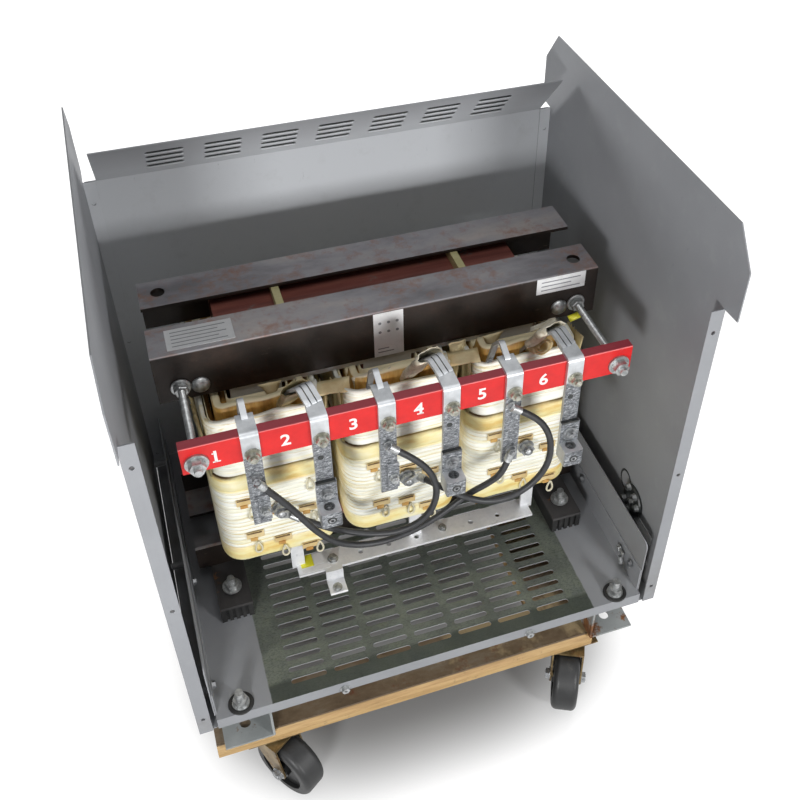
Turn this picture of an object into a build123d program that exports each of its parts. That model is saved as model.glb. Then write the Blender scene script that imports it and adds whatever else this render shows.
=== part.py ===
from build123d import *
import math
import os

os.makedirs("parts", exist_ok=True)

# Enclosure
enclosure_width = 813.0
enclosure_depth = 597.0
sheet = 2.0
flange_width = 21.6
panel_bottom = 244.0
shoulder_height = 921.0
wing_reach = 32.0
crown_rise = 138.0
wing_share = 0.61
crown_inset = 8.0
cover_hole_radius = 3.5
cover_hole_low_share = 0.06
cover_hole_mid_share = 0.5
cover_hole_high_share = 0.94
back_panel_gap = 4.5
back_strip_rise = 95.0
back_strip_lean = 82.0
strip_inset = 18.0

# Louvers in the leaning strip
louver_groups = 7
louver_rows = 4
louver_spacing = 91.0
louver_length = 60.0
louver_height = 5.0
louver_row_spacing = 20.0

# Ground to floor
wheel_radius = 62.0
wheel_width = 46.0
caster_height = 142.0
rail_thickness = 25.0
channel_height = 101.0
floor_top = caster_height + rail_thickness + channel_height + sheet

# Base pan and sills
pan_gap = 30.5
pan_lip = 25.0
pan_upturn = 56.0
sill_height = 126.0
sill_gap = 0.5
spacer_radius = 6.0
spacer_inset = 42.0
slot_columns = 7
slot_rows = 26
slot_length = 60.0
slot_width = 9.0
slot_column_spacing = 73.0
slot_row_share = 0.03618

# Foot channels
channel_set_in = 2.0
channel_flange = 84.0
channel_wall = 4.0
anchor_hole_radius = 9.0
anchor_hole_reach = 45.0
anchor_hole_inset = 38.0

# Core and coils
core_to_back = 234.0
stack_depth = 176.0
leg_width = 80.0
yoke_height = 80.0
leg_spacing_share = 0.29692
core_rise = 46.0
window_height = 310.0
coil_gap = 14.0
coil_depth = 342.0
coil_corner = 38.0
coil_step = 9.0
coil_ledge_share = 0.665
end_wrap_rise = 12.0
end_wrap_width = 150.0
coil_clearance = 6.0
coil_lift = 4.0
coil_top_gap = 4.0
duct_depth = 9.0
duct_width = 92.0
duct_drop = 26.0

# Clamps
clamp_end_gap = 19.0
clamp_leg = 90.0
clamp_shelf = 68.0
clamp_wall = 6.0
lower_clamp_rise = 38.0
lower_clamp_leg = 54.0
lift_hole_radius = 11.0
lift_hole_end = 30.0
lift_hole_inset = 33.0
packing_width = 12.0
packing_share = 0.42
packing_height = 18.0

# Isolating feet
foot_end = 48.0
foot_width = 56.0
foot_length = 128.0
foot_reach = 94.0
foot_slot_width = 10.0
pad_height = 32.0
pad_rib_count = 5
pad_rib_gap = 5.0
pad_rib_depth = 4.0

# Terminal bar on its stand-off rods
terminal_end = 14.0
terminal_height = 50.0
terminal_thickness = 18.0
terminal_drop = 82.0
terminal_reach = 82.0
terminal_round = 2.0
rod_radius = 6.0
rod_end = 35.0
rod_rise = 19.0
rod_stick_out = 16.0
nut_radius = 10.8
nut_height = 12.0

# Bars over the terminal bar
bar_spacing_share = 0.143586
bar_width = 26.0
bar_wall = 6.0
bar_bend = 4.0
bar_heel = 17.0
line_bar_drop = 134.0
load_bar_drop = 120.0
lead_wall = 5.0
lead_rise = 15.5
lead_fall = 26.0
lead_bend = 8.0
lead_crest_reach = 26.5
line_lead_width = 9.0
line_lead_fall_reach = 50.0
line_lead_reach = 70.5
load_lead_width = 7.4
load_lead_gap = 1.9
load_lead_fall_reach = 54.0
load_lead_reach = 96.0
load_lead_splay = 18.0
lug_width = 32.0
lug_depth = 30.0
lug_height = 74.0
lug_drop = 28.0
lug_body_share = 0.42
lug_tongue_wall = 6.0
lug_bore = 8.5
lug_round = 3.0

# Neutral bar below the coils
neutral_left_shift = 16.0
neutral_right_shift = 24.0
neutral_width = 40.0
neutral_wall = 5.0
neutral_reach = 17.5
neutral_rise = 68.0
neutral_hole_radius = 4.5
neutral_hole_inset = 17.5
neutral_hole_share = 0.119
neutral_holes = 7
neutral_lead_width = 22.0
neutral_lead_x = 20.0
tab_width = 30.0
tab_reach = 34.0
tab_drop = 22.0
tab_inset = 60.0

# Tap studs and jumper lugs
stud_radius = 7.0
stud_length = 22.0
stud_shift = 2.0
stud_drop = 206.0
tongue_width = 15.0
tongue_wall = 3.0
barrel_radius = 6.6
barrel_length = 16.0
upper_bolt_drop = 31.0
high_bolt_drop = 12.0
lower_bolt_drop = 104.0

# Jumper cables: across in bar spacings, out from the coil front, and down from the terminal bar
cable_radius = 5.3
cable_a = [
    (-2.416, 96.5, 49),
    (-2.081, 92.5, 106),
    (-1.675, 84.5, 200),
    (-1.31, 79.5, 247),
    (-0.782, 76.5, 272),
    (-0.183, 74.5, 270),
    (0.376, 72.5, 249),
    (0.853, 71.5, 213),
    (1.178, 89.5, 175),
    (1.35, 99.5, 146),
    (1.431, 97.5, 122),
]
cable_b = [
    (-0.386, 96.5, 39),
    (-0.112, 100.5, 63),
    (0.132, 102.5, 99),
    (0.234, 102.5, 141),
    (0.193, 99.5, 184),
    (-0.01, 94.5, 221),
    (-0.365, 85.5, 244),
    (-0.761, 73.5, 249),
    (-1.157, 60.5, 243),
    (-1.553, 46.5, 231),
    (-1.868, 31.5, 216),
]
cable_c = [
    (1.584, 96.5, 17),
    (1.868, 100.5, 37),
    (2.081, 102.5, 73),
    (2.162, 102.5, 113),
    (2.132, 101.5, 154),
    (1.939, 99.5, 190),
    (1.594, 98.5, 213),
    (1.188, 96.5, 215),
    (0.812, 89.5, 201),
    (0.477, 65.5, 189),
    (0.264, 33.5, 196),
]
bend_share = 0.45

# Dolly
rail_overhang = 12.0
rail_catch = 8.0
rail_depth = 90.0
rail_set_back = 6.0
rail_bevel = 10.0
caster_left_inset = 92.5
caster_right_inset = 29.0
caster_set_back = 31.0
plate_length = 86.0
plate_width = 62.0
plate_wall = 3.0
race_radius = 24.0
race_height = 6.0
race_gap = 0.3
king_radius = 6.0
running_gap = 0.05
trail = 38.0
fork_wall = 3.0
fork_side_gap = 3.0
fork_head_height = 5.0
fork_boss_radius = 14.0
fork_head_length = 62.0
axle_radius = 6.0
axle_stick_out = 8.0
hub_recess = 8.0
hub_inner_radius = 15.0
hub_outer_radius = 43.0
tread_round = 10.0
heading_front_left = -55.0
heading_front_right = -116.2
heading_rear_right = 116.2
heading_rear_left = 158.0

half_width = enclosure_width / 2
half_depth = enclosure_depth / 2
side_in = half_width - sheet
crown_height = shoulder_height + crown_rise
wing_height = shoulder_height + crown_rise * wing_share
back_panel_width = enclosure_width - 2 * back_panel_gap
strip_width = back_panel_width - 2 * strip_inset
pan_width = enclosure_width - 2 * pan_gap
channel_web = pan_width / 2 - channel_flange - channel_set_in
anchor_hole_x = channel_web + anchor_hole_reach
slot_row_spacing = enclosure_depth * slot_row_share
rail_left = -pan_width / 2 - rail_overhang
rail_right = channel_web + rail_catch
rail_front = -half_depth + rail_set_back
caster_left_x = rail_left + caster_left_inset
caster_right_x = rail_right - caster_right_inset
caster_y = rail_front + caster_set_back
clamp_length = pan_width - 2 * clamp_end_gap
leg_spacing = clamp_length * leg_spacing_share
coil_width = leg_spacing - coil_gap
coil_height = window_height - coil_lift - coil_top_gap
core_y = half_depth - core_to_back
core_bottom = floor_top + core_rise
core_top = core_bottom + yoke_height + window_height + yoke_height
clamp_top = core_top + packing_height + clamp_wall
lower_clamp_bottom = floor_top + lower_clamp_rise
lift_hole_x = clamp_length / 2 - lift_hole_end
packing_x = packing_share * clamp_length / 2
foot_x = clamp_length / 2 - foot_end
foot_plate = floor_top + pad_height
stack_front = core_y - stack_depth / 2
stack_back = core_y + stack_depth / 2
clamp_face = stack_front - clamp_wall
coil_bottom = core_bottom + yoke_height + coil_lift
coil_top = coil_bottom + coil_height
coil_front = core_y - coil_depth / 2
leg_xs = [-leg_spacing, 0.0, leg_spacing]
terminal_length = clamp_length - 2 * terminal_end
terminal_bottom = clamp_top - terminal_drop
bar_spacing = terminal_length * bar_spacing_share
bar_xs = [bar_spacing * (place - 2.5) for place in range(6)]
terminal_front = coil_front - terminal_reach
terminal_back = terminal_front + terminal_thickness
rod_x = clamp_length / 2 - rod_end
bar_front = terminal_front - bar_wall
terminal_top = terminal_bottom + terminal_height
neutral_left = leg_xs[0] + neutral_left_shift
neutral_right = leg_xs[2] + neutral_right_shift
neutral_front = coil_front - neutral_reach
neutral_level = floor_top + neutral_rise
tab_x = neutral_left + tab_inset
neutral_hole_spacing = (neutral_right - neutral_left) * neutral_hole_share
stud_level = terminal_bottom - stud_drop


def side_panel(side, label):
    """A folded side panel with its two flanges and the gabled head above the shoulder."""
    outer = side * half_width
    inner = side * side_in
    middle = (outer + inner) / 2
    flange_mid = side * (half_width - flange_width / 2)
    hole_x = side * (half_width - flange_width / 2)
    straight = shoulder_height - panel_bottom
    with BuildPart() as panel:
        with BuildSketch(Plane.XY.offset(panel_bottom)):
            with Locations((middle, 0)):
                Rectangle(sheet, enclosure_depth)
            with Locations((flange_mid, -half_depth + sheet / 2), (flange_mid, half_depth - sheet / 2)):
                Rectangle(flange_width, sheet)
        extrude(amount=straight)
        with BuildSketch(Plane.YZ.offset(min(outer, inner))):
            with BuildLine():
                Polyline(
                    (-half_depth, shoulder_height - flange_width),
                    (-half_depth, shoulder_height),
                    (-half_depth - wing_reach, shoulder_height + sheet),
                    (-half_depth - wing_reach, wing_height),
                    (-half_depth + crown_inset, crown_height),
                    (half_depth - crown_inset, crown_height),
                    (half_depth + wing_reach, wing_height),
                    (half_depth + wing_reach, shoulder_height + sheet),
                    (half_depth, shoulder_height),
                    (half_depth, shoulder_height - flange_width),
                    close=True,
                )
            make_face()
        extrude(amount=sheet)
        shares = (cover_hole_low_share, cover_hole_mid_share, cover_hole_high_share)
        for share in shares:
            level = panel_bottom + straight * share
            for face_y in (-half_depth, half_depth):
                with Locations(Location((hole_x, face_y, level), (90, 0, 0))):
                    Hole(cover_hole_radius, depth=flange_width)
    panel.part.label = label
    export_step(panel.part, f"parts/{label}.step")


side_panel(-1, "left_side_panel")
side_panel(1, "right_side_panel")

# Back panel: a flat sheet whose top strip leans inward and carries the louver slots
strip_run = math.hypot(back_strip_rise, back_strip_lean)
with BuildPart() as back_panel:
    with BuildSketch(Plane.YZ.offset(-back_panel_width / 2)):
        with Locations((half_depth + sheet / 2, (panel_bottom + shoulder_height) / 2)):
            Rectangle(sheet, shoulder_height - panel_bottom)
    extrude(amount=back_panel_width)
    strip_base = Plane(
        origin=(0, half_depth + sheet, shoulder_height),
        x_dir=(-1, 0, 0),
        z_dir=(0, back_strip_rise / strip_run, back_strip_lean / strip_run),
    )
    with BuildSketch(strip_base):
        with Locations((0, strip_run / 2)):
            Rectangle(strip_width, strip_run)
            with GridLocations(louver_spacing, louver_row_spacing, louver_groups, louver_rows):
                SlotOverall(louver_length, louver_height, mode=Mode.SUBTRACT)
    extrude(amount=-sheet)
back_panel.part.label = "back_panel"
export_step(back_panel.part, "parts/back_panel.step")

# Base pan: slotted floor with turned-down front and back lips and turned-up sides
with BuildPart() as base_pan:
    with BuildSketch(Plane.XY.offset(floor_top - sheet)):
        Rectangle(pan_width, enclosure_depth)
        with GridLocations(slot_column_spacing, slot_row_spacing, slot_columns, slot_rows):
            SlotOverall(slot_length, slot_width, mode=Mode.SUBTRACT)
    extrude(amount=sheet)
    lip_mid = floor_top - pan_lip / 2
    with BuildSketch(Plane.XZ):
        with Locations((0, lip_mid)):
            Rectangle(pan_width, pan_lip)
    lip_sheet = extrude(amount=sheet, mode=Mode.PRIVATE)
    with Locations((0, -half_depth + sheet, 0), (0, half_depth, 0)):
        add(lip_sheet)
    with BuildSketch(Plane.XY.offset(floor_top)):
        side_mid = pan_width / 2 - sheet / 2
        with Locations((-side_mid, 0), (side_mid, 0)):
            Rectangle(sheet, enclosure_depth - flange_width)
    extrude(amount=pan_upturn)
base_pan.part.label = "base_pan"
export_step(base_pan.part, "parts/base_pan.step")


def sill(side, label):
    """The taller sheet outside the pan's upturned side, held off the side panel by spacers."""
    mid = side * (pan_width / 2 + sill_gap + sheet / 2)
    spacer_face = side * (pan_width / 2 + sill_gap)
    spacer_run = side_in - pan_width / 2 - sill_gap
    with BuildPart() as plate:
        with Locations((mid, 0, floor_top - sheet)):
            Box(
                sheet,
                enclosure_depth - flange_width,
                sill_height + sheet,
                align=(Align.CENTER, Align.CENTER, Align.MIN),
            )
        top_ends = plate.edges().filter_by(Axis.X).group_by(Axis.Z)[-1]
        fillet(top_ends, flange_width / 2)
        for place in (-1, 0, 1):
            spacer_y = place * (half_depth - spacer_inset)
            spacer_seat = Location((spacer_face, spacer_y, floor_top + pan_upturn / 2), (0, side * 90, 0))
            with Locations(spacer_seat):
                Cylinder(spacer_radius, spacer_run, align=(Align.CENTER, Align.CENTER, Align.MIN))
    plate.part.label = label
    export_step(plate.part, f"parts/{label}.step")


sill(-1, "left_sill")
sill(1, "right_sill")


def foot_channel(side, label):
    """A channel under the floor with its web inward and anchor holes in the bottom flange."""
    bottom = caster_height + rail_thickness
    channel_end = half_depth - sheet - sill_gap
    with BuildPart() as channel:
        with BuildSketch(Plane.XZ.offset(-channel_end)):
            outer_mid = channel_web + channel_flange / 2
            mid_z = bottom + channel_height / 2
            with Locations((side * outer_mid, mid_z)):
                Rectangle(channel_flange, channel_height)
            with Locations((side * (outer_mid + channel_wall), mid_z)):
                Rectangle(channel_flange, channel_height - 2 * channel_wall, mode=Mode.SUBTRACT)
        extrude(amount=2 * channel_end)
        inner_edges = channel.edges().filter_by(Axis.Y).filter_by_position(
            Axis.X, *sorted((side * channel_web - sheet, side * channel_web + sheet))
        )
        fillet(inner_edges, channel_wall)
        hole_y = half_depth - anchor_hole_inset
        with Locations((side * anchor_hole_x, -hole_y, bottom), (side * anchor_hole_x, hole_y, bottom)):
            Cylinder(anchor_hole_radius, channel_height / 2, mode=Mode.SUBTRACT)
    channel.part.label = label
    export_step(channel.part, f"parts/{label}.step")


foot_channel(-1, "left_foot_channel")
foot_channel(1, "right_foot_channel")

# Laminated three-leg core
with BuildPart() as core:
    with BuildSketch(Plane.XZ.offset(-stack_back)):
        core_width = 2 * leg_spacing + leg_width
        with Locations((0, (core_bottom + core_top) / 2)):
            Rectangle(core_width, core_top - core_bottom)
            with GridLocations(leg_spacing, leg_spacing, 2, 1):
                Rectangle(leg_spacing - leg_width, window_height, mode=Mode.SUBTRACT)
    extrude(amount=stack_depth)
core.part.label = "core"
export_step(core.part, "parts/core.step")


def clamp(label, shelf_side, upright, hole_side):
    """An angle clamp: upright leg on the core face, shelf leg turned over the yoke."""
    face = stack_front if shelf_side > 0 else stack_back
    outside = face - shelf_side * clamp_wall
    base = clamp_top if upright < 0 else lower_clamp_bottom
    leg = clamp_leg if upright < 0 else lower_clamp_leg
    shelf_mid = outside + shelf_side * clamp_shelf / 2
    leg_mid = outside + shelf_side * clamp_wall / 2
    with BuildPart() as angle:
        with BuildSketch(Plane.YZ.offset(-clamp_length / 2)):
            with Locations((shelf_mid, base + upright * clamp_wall / 2)):
                Rectangle(clamp_shelf, clamp_wall)
            with Locations((leg_mid, base + upright * leg / 2)):
                Rectangle(clamp_wall, leg)
        extrude(amount=clamp_length)
        heel = angle.edges().filter_by(Axis.X).sort_by(
            lambda edge: abs(edge.center().Y - outside) + abs(edge.center().Z - base)
        )[0]
        fillet(heel, clamp_wall / 2)
        with Locations((hole_side * lift_hole_x, outside + shelf_side * lift_hole_inset, base)):
            Cylinder(lift_hole_radius, leg / 2, mode=Mode.SUBTRACT)
    angle.part.label = label
    export_step(angle.part, f"parts/{label}.step")


clamp("upper_front_clamp", 1, -1, 1)
clamp("upper_rear_clamp", -1, -1, -1)
clamp("lower_front_clamp", 1, 1, -1)
clamp("lower_rear_clamp", -1, 1, 1)

# Packing strips across the yoke, between the two upper clamps
with BuildPart() as yoke_packing:
    with Locations((-packing_x, core_y, core_top), (packing_x, core_y, core_top)):
        Box(
            packing_width,
            stack_depth,
            packing_height,
            align=(Align.CENTER, Align.CENTER, Align.MIN),
        )
yoke_packing.part.label = "yoke_packing"
export_step(yoke_packing.part, "parts/yoke_packing.step")

# Packing blocks that lift the lower yoke off the lower clamps
with BuildPart() as lower_packing:
    lower_gap = core_bottom - lower_clamp_bottom - clamp_wall
    with Locations((-packing_x, core_y, core_bottom), (packing_x, core_y, core_bottom)):
        Box(
            packing_width,
            stack_depth,
            lower_gap,
            align=(Align.CENTER, Align.CENTER, Align.MAX),
        )
lower_packing.part.label = "lower_packing"
export_step(lower_packing.part, "parts/lower_packing.step")


def coil(place, label):
    """One rectangular wound coil: a stepped outside, taller end wraps and cooling ducts at the top."""
    x = leg_xs[place]
    upper_width = coil_width - 2 * coil_step
    upper_depth = coil_depth - 2 * coil_step
    inner_width = leg_width + 2 * coil_clearance
    inner_depth = stack_depth + 2 * clamp_wall + 2 * coil_clearance
    with BuildPart() as winding:
        with BuildSketch(Plane.XY.offset(coil_bottom)):
            with Locations((x, core_y)):
                RectangleRounded(coil_width, coil_depth, coil_corner)
                Rectangle(inner_width, inner_depth, mode=Mode.SUBTRACT)
        extrude(amount=coil_height * coil_ledge_share)
        with BuildSketch(Plane.XY.offset(coil_bottom)):
            with Locations((x, core_y)):
                RectangleRounded(upper_width, upper_depth, coil_corner - coil_step)
                Rectangle(inner_width, inner_depth, mode=Mode.SUBTRACT)
        extrude(amount=coil_height)
        duct_y = coil_depth / 2 - duct_drop
        wrap_wall = duct_drop - coil_step - duct_depth / 2
        wrap_y = coil_depth / 2 - coil_step - wrap_wall / 2
        with Locations((x, core_y - wrap_y, coil_top), (x, core_y + wrap_y, coil_top)):
            Box(
                end_wrap_width - 2 * coil_step,
                wrap_wall,
                end_wrap_rise,
                align=(Align.CENTER, Align.CENTER, Align.MIN),
            )
        with Locations((x, core_y - duct_y, coil_top), (x, core_y + duct_y, coil_top)):
            Box(
                duct_width,
                duct_depth,
                duct_drop,
                align=(Align.CENTER, Align.CENTER, Align.MAX),
                mode=Mode.SUBTRACT,
            )
    winding.part.label = label
    export_step(winding.part, f"parts/{label}.step")


coil(0, "left_coil")
coil(1, "centre_coil")
coil(2, "right_coil")


def foot_pads(end, label):
    """A pair of ribbed rubber pads under the lower clamp's ends."""
    outside = stack_front - clamp_wall if end < 0 else stack_back + clamp_wall
    mid = outside + end * (foot_reach - foot_length / 2)
    rib_spacing = foot_width / pad_rib_count
    with BuildPart() as pads:
        with Locations((-foot_x, mid, floor_top), (foot_x, mid, floor_top)):
            Box(
                foot_width,
                foot_length,
                pad_height,
                align=(Align.CENTER, Align.CENTER, Align.MIN),
            )
        groove_y = mid + end * (foot_length / 2 - pad_rib_depth / 2)
        with Locations((-foot_x, groove_y, floor_top), (foot_x, groove_y, floor_top)):
            with GridLocations(rib_spacing, rib_spacing, pad_rib_count - 1, 1):
                Box(
                    pad_rib_gap,
                    pad_rib_depth,
                    pad_height,
                    align=(Align.CENTER, Align.CENTER, Align.MIN),
                    mode=Mode.SUBTRACT,
                )
    pads.part.label = label
    export_step(pads.part, f"parts/{label}.step")


foot_pads(-1, "front_pads")
foot_pads(1, "rear_pads")


def foot_plates(end, label):
    """A pair of steel plates between the rubber pads and the lower clamp."""
    outside = stack_front - clamp_wall if end < 0 else stack_back + clamp_wall
    mid = outside + end * (foot_reach - foot_length / 2)
    slot_y = outside + end * foot_reach / 2
    with BuildPart() as plates:
        with BuildSketch(Plane.XY.offset(foot_plate)):
            with Locations((-foot_x, mid), (foot_x, mid)):
                Rectangle(foot_width, foot_length)
            with Locations((-foot_x, slot_y), (foot_x, slot_y)):
                SlotOverall(foot_width / 2, foot_slot_width, rotation=90, mode=Mode.SUBTRACT)
        extrude(amount=lower_clamp_bottom - foot_plate)
    plates.part.label = label
    export_step(plates.part, f"parts/{label}.step")


foot_plates(-1, "front_foot_plates")
foot_plates(1, "rear_foot_plates")

# Red terminal bar, drilled for its rods
rod_level = terminal_bottom + rod_rise
with BuildPart() as terminal_bar:
    with Locations((0, terminal_front, terminal_bottom)):
        Box(
            terminal_length,
            terminal_thickness,
            terminal_height,
            align=(Align.CENTER, Align.MIN, Align.MIN),
        )
    fillet(terminal_bar.edges().filter_by(Axis.X).group_by(Axis.Z)[-1], terminal_round)
    with Locations(
        Location((-rod_x, terminal_front, rod_level), (90, 0, 0)),
        Location((rod_x, terminal_front, rod_level), (90, 0, 0)),
    ):
        Cylinder(rod_radius, terminal_length, mode=Mode.SUBTRACT)
terminal_bar.part.label = "terminal_bar"
export_step(terminal_bar.part, "parts/terminal_bar.step")

# Stand-off rods with a nut on each side of the terminal bar and one on the clamp
with BuildPart() as stand_off_rods:
    rod_start = terminal_front - rod_stick_out
    for side in (-1, 1):
        with Locations(Location((side * rod_x, clamp_face, rod_level), (90, 0, 0))):
            Cylinder(
                rod_radius,
                clamp_face - rod_start,
                align=(Align.CENTER, Align.CENTER, Align.MIN),
            )
        nut_faces = (
            clamp_face,
            terminal_back + nut_height,
            terminal_front,
        )
        for nut_y in nut_faces:
            with BuildSketch(Plane.XZ.offset(-nut_y)):
                with Locations((side * rod_x, rod_level)):
                    RegularPolygon(nut_radius, 6)
            extrude(amount=nut_height)
stand_off_rods.part.label = "stand_off_rods"
export_step(stand_off_rods.part, "parts/stand_off_rods.step")


def bus_bar(place, drop, fall_reach, reach, landing, splay, leads, label):
    """An aluminium bar down the terminal bar's front, with the coil's leads welded to its heel."""
    x = bar_xs[place]
    top_z = terminal_top + bar_wall / 2
    front_y = terminal_front - bar_wall / 2
    turned = math.radians(splay)
    run = (-math.sin(turned), math.cos(turned), 0)
    square = (math.cos(turned), math.sin(turned), 0)
    lead_plane = Plane(origin=(x, terminal_back + bar_heel / 2, top_z), x_dir=run, z_dir=square)
    with BuildPart() as bar:
        with BuildSketch(Plane.YZ.offset(x - bar_width / 2)):
            with BuildLine():
                FilletPolyline(
                    (terminal_back + bar_heel, top_z),
                    (front_y, top_z),
                    (front_y, terminal_bottom - drop),
                    radius=bar_bend,
                )
                offset(amount=bar_wall / 2, kind=Kind.ARC, side=Side.BOTH)
            make_face()
        extrude(amount=bar_width)
        for lead_x, lead_width in leads:
            with BuildSketch(lead_plane.offset(lead_x - lead_width / 2)):
                with BuildLine():
                    FilletPolyline(
                        (0, bar_wall / 2),
                        (lead_crest_reach, lead_rise),
                        (fall_reach, lead_rise - lead_fall),
                        (reach, landing + lead_wall / 2 - top_z),
                        radius=lead_bend,
                    )
                    offset(amount=lead_wall / 2, kind=Kind.ARC, side=Side.BOTH)
                make_face()
            extrude(amount=lead_width)
    bar.part.label = label
    export_step(bar.part, f"parts/{label}.step")


load_lead_step = load_lead_width + load_lead_gap
line_leads = [(0.0, line_lead_width)]
load_leads = [(-load_lead_step, load_lead_width), (0.0, load_lead_width), (load_lead_step, load_lead_width)]
end_wrap_top = coil_top + end_wrap_rise
for place in range(6):
    if place % 2 == 0:
        line_path = (line_bar_drop, line_lead_fall_reach, line_lead_reach, end_wrap_top, 0.0)
        bus_bar(place, *line_path, line_leads, f"bus_bar_{place + 1}")
    else:
        load_path = (load_bar_drop, load_lead_fall_reach, load_lead_reach, coil_top, load_lead_splay)
        bus_bar(place, *load_path, load_leads, f"bus_bar_{place + 1}")


def box_lug(place, label):
    """A box lug on the front of a bar: a flat tongue above, a thick body with the wire hole below."""
    x = bar_xs[place]
    low = terminal_bottom - load_bar_drop - lug_drop
    with BuildPart() as lug:
        with Locations((x, bar_front, low)):
            Box(lug_width, lug_tongue_wall, lug_height, align=(Align.CENTER, Align.MAX, Align.MIN))
            Box(
                lug_width,
                lug_depth,
                lug_height * lug_body_share,
                align=(Align.CENTER, Align.MAX, Align.MIN),
            )
        fillet(lug.edges().filter_by(Axis.Z).group_by(Axis.Y)[0], lug_round)
        with Locations((x, bar_front - lug_depth / 2, low)):
            Cylinder(lug_bore, lug_height * 2, mode=Mode.SUBTRACT)
    lug.part.label = label
    export_step(lug.part, f"parts/{label}.step")


box_lug(1, "box_lug_2")
box_lug(3, "box_lug_4")
box_lug(5, "box_lug_6")

# Neutral bar with its leads from the three coils and a bent earth tab
with BuildPart() as neutral_bar:
    neutral_mid = (neutral_left + neutral_right) / 2
    with BuildSketch(Plane.XY.offset(neutral_level)):
        with Locations((neutral_mid, neutral_front + neutral_width / 2)):
            Rectangle(neutral_right - neutral_left, neutral_width)
        with Locations((neutral_mid, neutral_front + neutral_hole_inset)):
            with GridLocations(neutral_hole_spacing, neutral_hole_spacing, neutral_holes, 1):
                Circle(neutral_hole_radius, mode=Mode.SUBTRACT)
    extrude(amount=neutral_wall)
    lead_y = coil_front + neutral_wall
    for leg_x in leg_xs:
        with Locations((leg_x + neutral_lead_x, lead_y, neutral_level)):
            Box(
                neutral_lead_width,
                neutral_wall,
                coil_bottom - neutral_level,
                align=(Align.CENTER, Align.MIN, Align.MIN),
            )
    with BuildSketch(Plane.YZ.offset(tab_x - tab_width / 2)):
        with BuildLine():
            Polyline(
                (neutral_front + neutral_wall, neutral_level + neutral_wall / 2),
                (neutral_front - neutral_wall, neutral_level + neutral_wall / 2),
                (neutral_front - neutral_wall, neutral_level - tab_drop),
                (neutral_front - tab_reach, neutral_level - tab_drop),
            )
            offset(amount=neutral_wall / 2, kind=Kind.INTERSECTION, side=Side.BOTH)
        make_face()
    extrude(amount=tab_width)
neutral_bar.part.label = "neutral_bar"
export_step(neutral_bar.part, "parts/neutral_bar.step")

# Tap studs on the coil fronts
with BuildPart() as tap_studs:
    for leg_x in leg_xs:
        with Locations(Location((leg_x + stud_shift, coil_front, stud_level), (90, 0, 0))):
            Cylinder(stud_radius, stud_length, align=(Align.CENTER, Align.CENTER, Align.MIN))
tap_studs.part.label = "tap_studs"
export_step(tap_studs.part, "parts/tap_studs.step")


def along(route):
    """A route's points in the model's frame."""
    points = []
    for place, reach, drop in route:
        points.append(Vector(place * bar_spacing, coil_front - reach, terminal_bottom - drop))
    return points


points_a = along(cable_a)
points_b = along(cable_b)
points_c = along(cable_c)
upper_bolt = terminal_bottom - upper_bolt_drop
high_bolt = terminal_bottom - high_bolt_drop
lower_bolt = terminal_bottom - lower_bolt_drop
stud_face = coil_front - stud_length
lug_seats = [
    (bar_xs[0], bar_front, upper_bolt, points_a[0], points_a[1]),
    (bar_xs[4], bar_front, lower_bolt, points_a[-1], points_a[-2]),
    (bar_xs[2], bar_front, upper_bolt, points_b[0], points_b[1]),
    (leg_xs[0] + stud_shift, stud_face, stud_level, points_b[-1], points_b[-2]),
    (bar_xs[4], bar_front, high_bolt, points_c[0], points_c[1]),
    (leg_xs[1] + stud_shift, stud_face, stud_level, points_c[-1], points_c[-2]),
]

# A tongue on a bar or stud and a barrel that meets the cable's end face
with BuildPart() as jumper_lugs:
    for bolt_x, seat_y, bolt_z, end, follow in lug_seats:
        away = (end - follow).normalized()
        root = end + away * barrel_length
        with BuildSketch(Plane.XZ.offset(-seat_y)):
            middle = ((bolt_x + root.X) / 2, (bolt_z + root.Z) / 2)
            SlotCenterPoint(middle, (bolt_x, bolt_z), tongue_width)
        extrude(amount=tongue_wall)
        with BuildSketch(Plane(origin=end, z_dir=away)):
            Circle(barrel_radius)
        extrude(amount=barrel_length)
jumper_lugs.part.label = "jumper_lugs"
export_step(jumper_lugs.part, "parts/jumper_lugs.step")


def jumper(route, label):
    """A hanging cable of straight runs joined by tangent arcs."""
    radii = []
    for before, corner, after in zip(route, route[1:], route[2:]):
        turn = math.radians((corner - before).get_angle(after - corner))
        shorter = min((corner - before).length, (after - corner).length)
        radii.append(bend_share * shorter / math.tan(turn / 2))
    with BuildPart() as cable:
        with BuildLine() as path:
            FilletPolyline(*route, radius=radii)
        with BuildSketch(Plane(origin=route[0], z_dir=route[1] - route[0])):
            Circle(cable_radius)
        sweep(path=path.wires()[0])
    cable.part.label = label
    export_step(cable.part, f"parts/{label}.step")


jumper(points_a, "jumper_cable_a")
jumper(points_b, "jumper_cable_b")
jumper(points_c, "jumper_cable_c")

# Dolly rails
rail_mid = (rail_left + rail_right) / 2
rail_length = rail_right - rail_left


def end_rail(end, label):
    """A cross rail of the dolly under the ends of the foot channels."""
    mid_y = -end * (rail_front + rail_depth / 2)
    with BuildPart() as rail:
        with Locations((rail_mid, mid_y, caster_height)):
            Box(rail_length, rail_depth, rail_thickness, align=(Align.CENTER, Align.CENTER, Align.MIN))
        top_edges = rail.edges().filter_by(Axis.X).group_by(Axis.Z)[-1].sort_by(Axis.Y)
        chamfer(top_edges[0] if end < 0 else top_edges[-1], rail_bevel)
    rail.part.label = label
    export_step(rail.part, f"parts/{label}.step")


end_rail(-1, "dolly_front_rail")
end_rail(1, "dolly_rear_rail")


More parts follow.
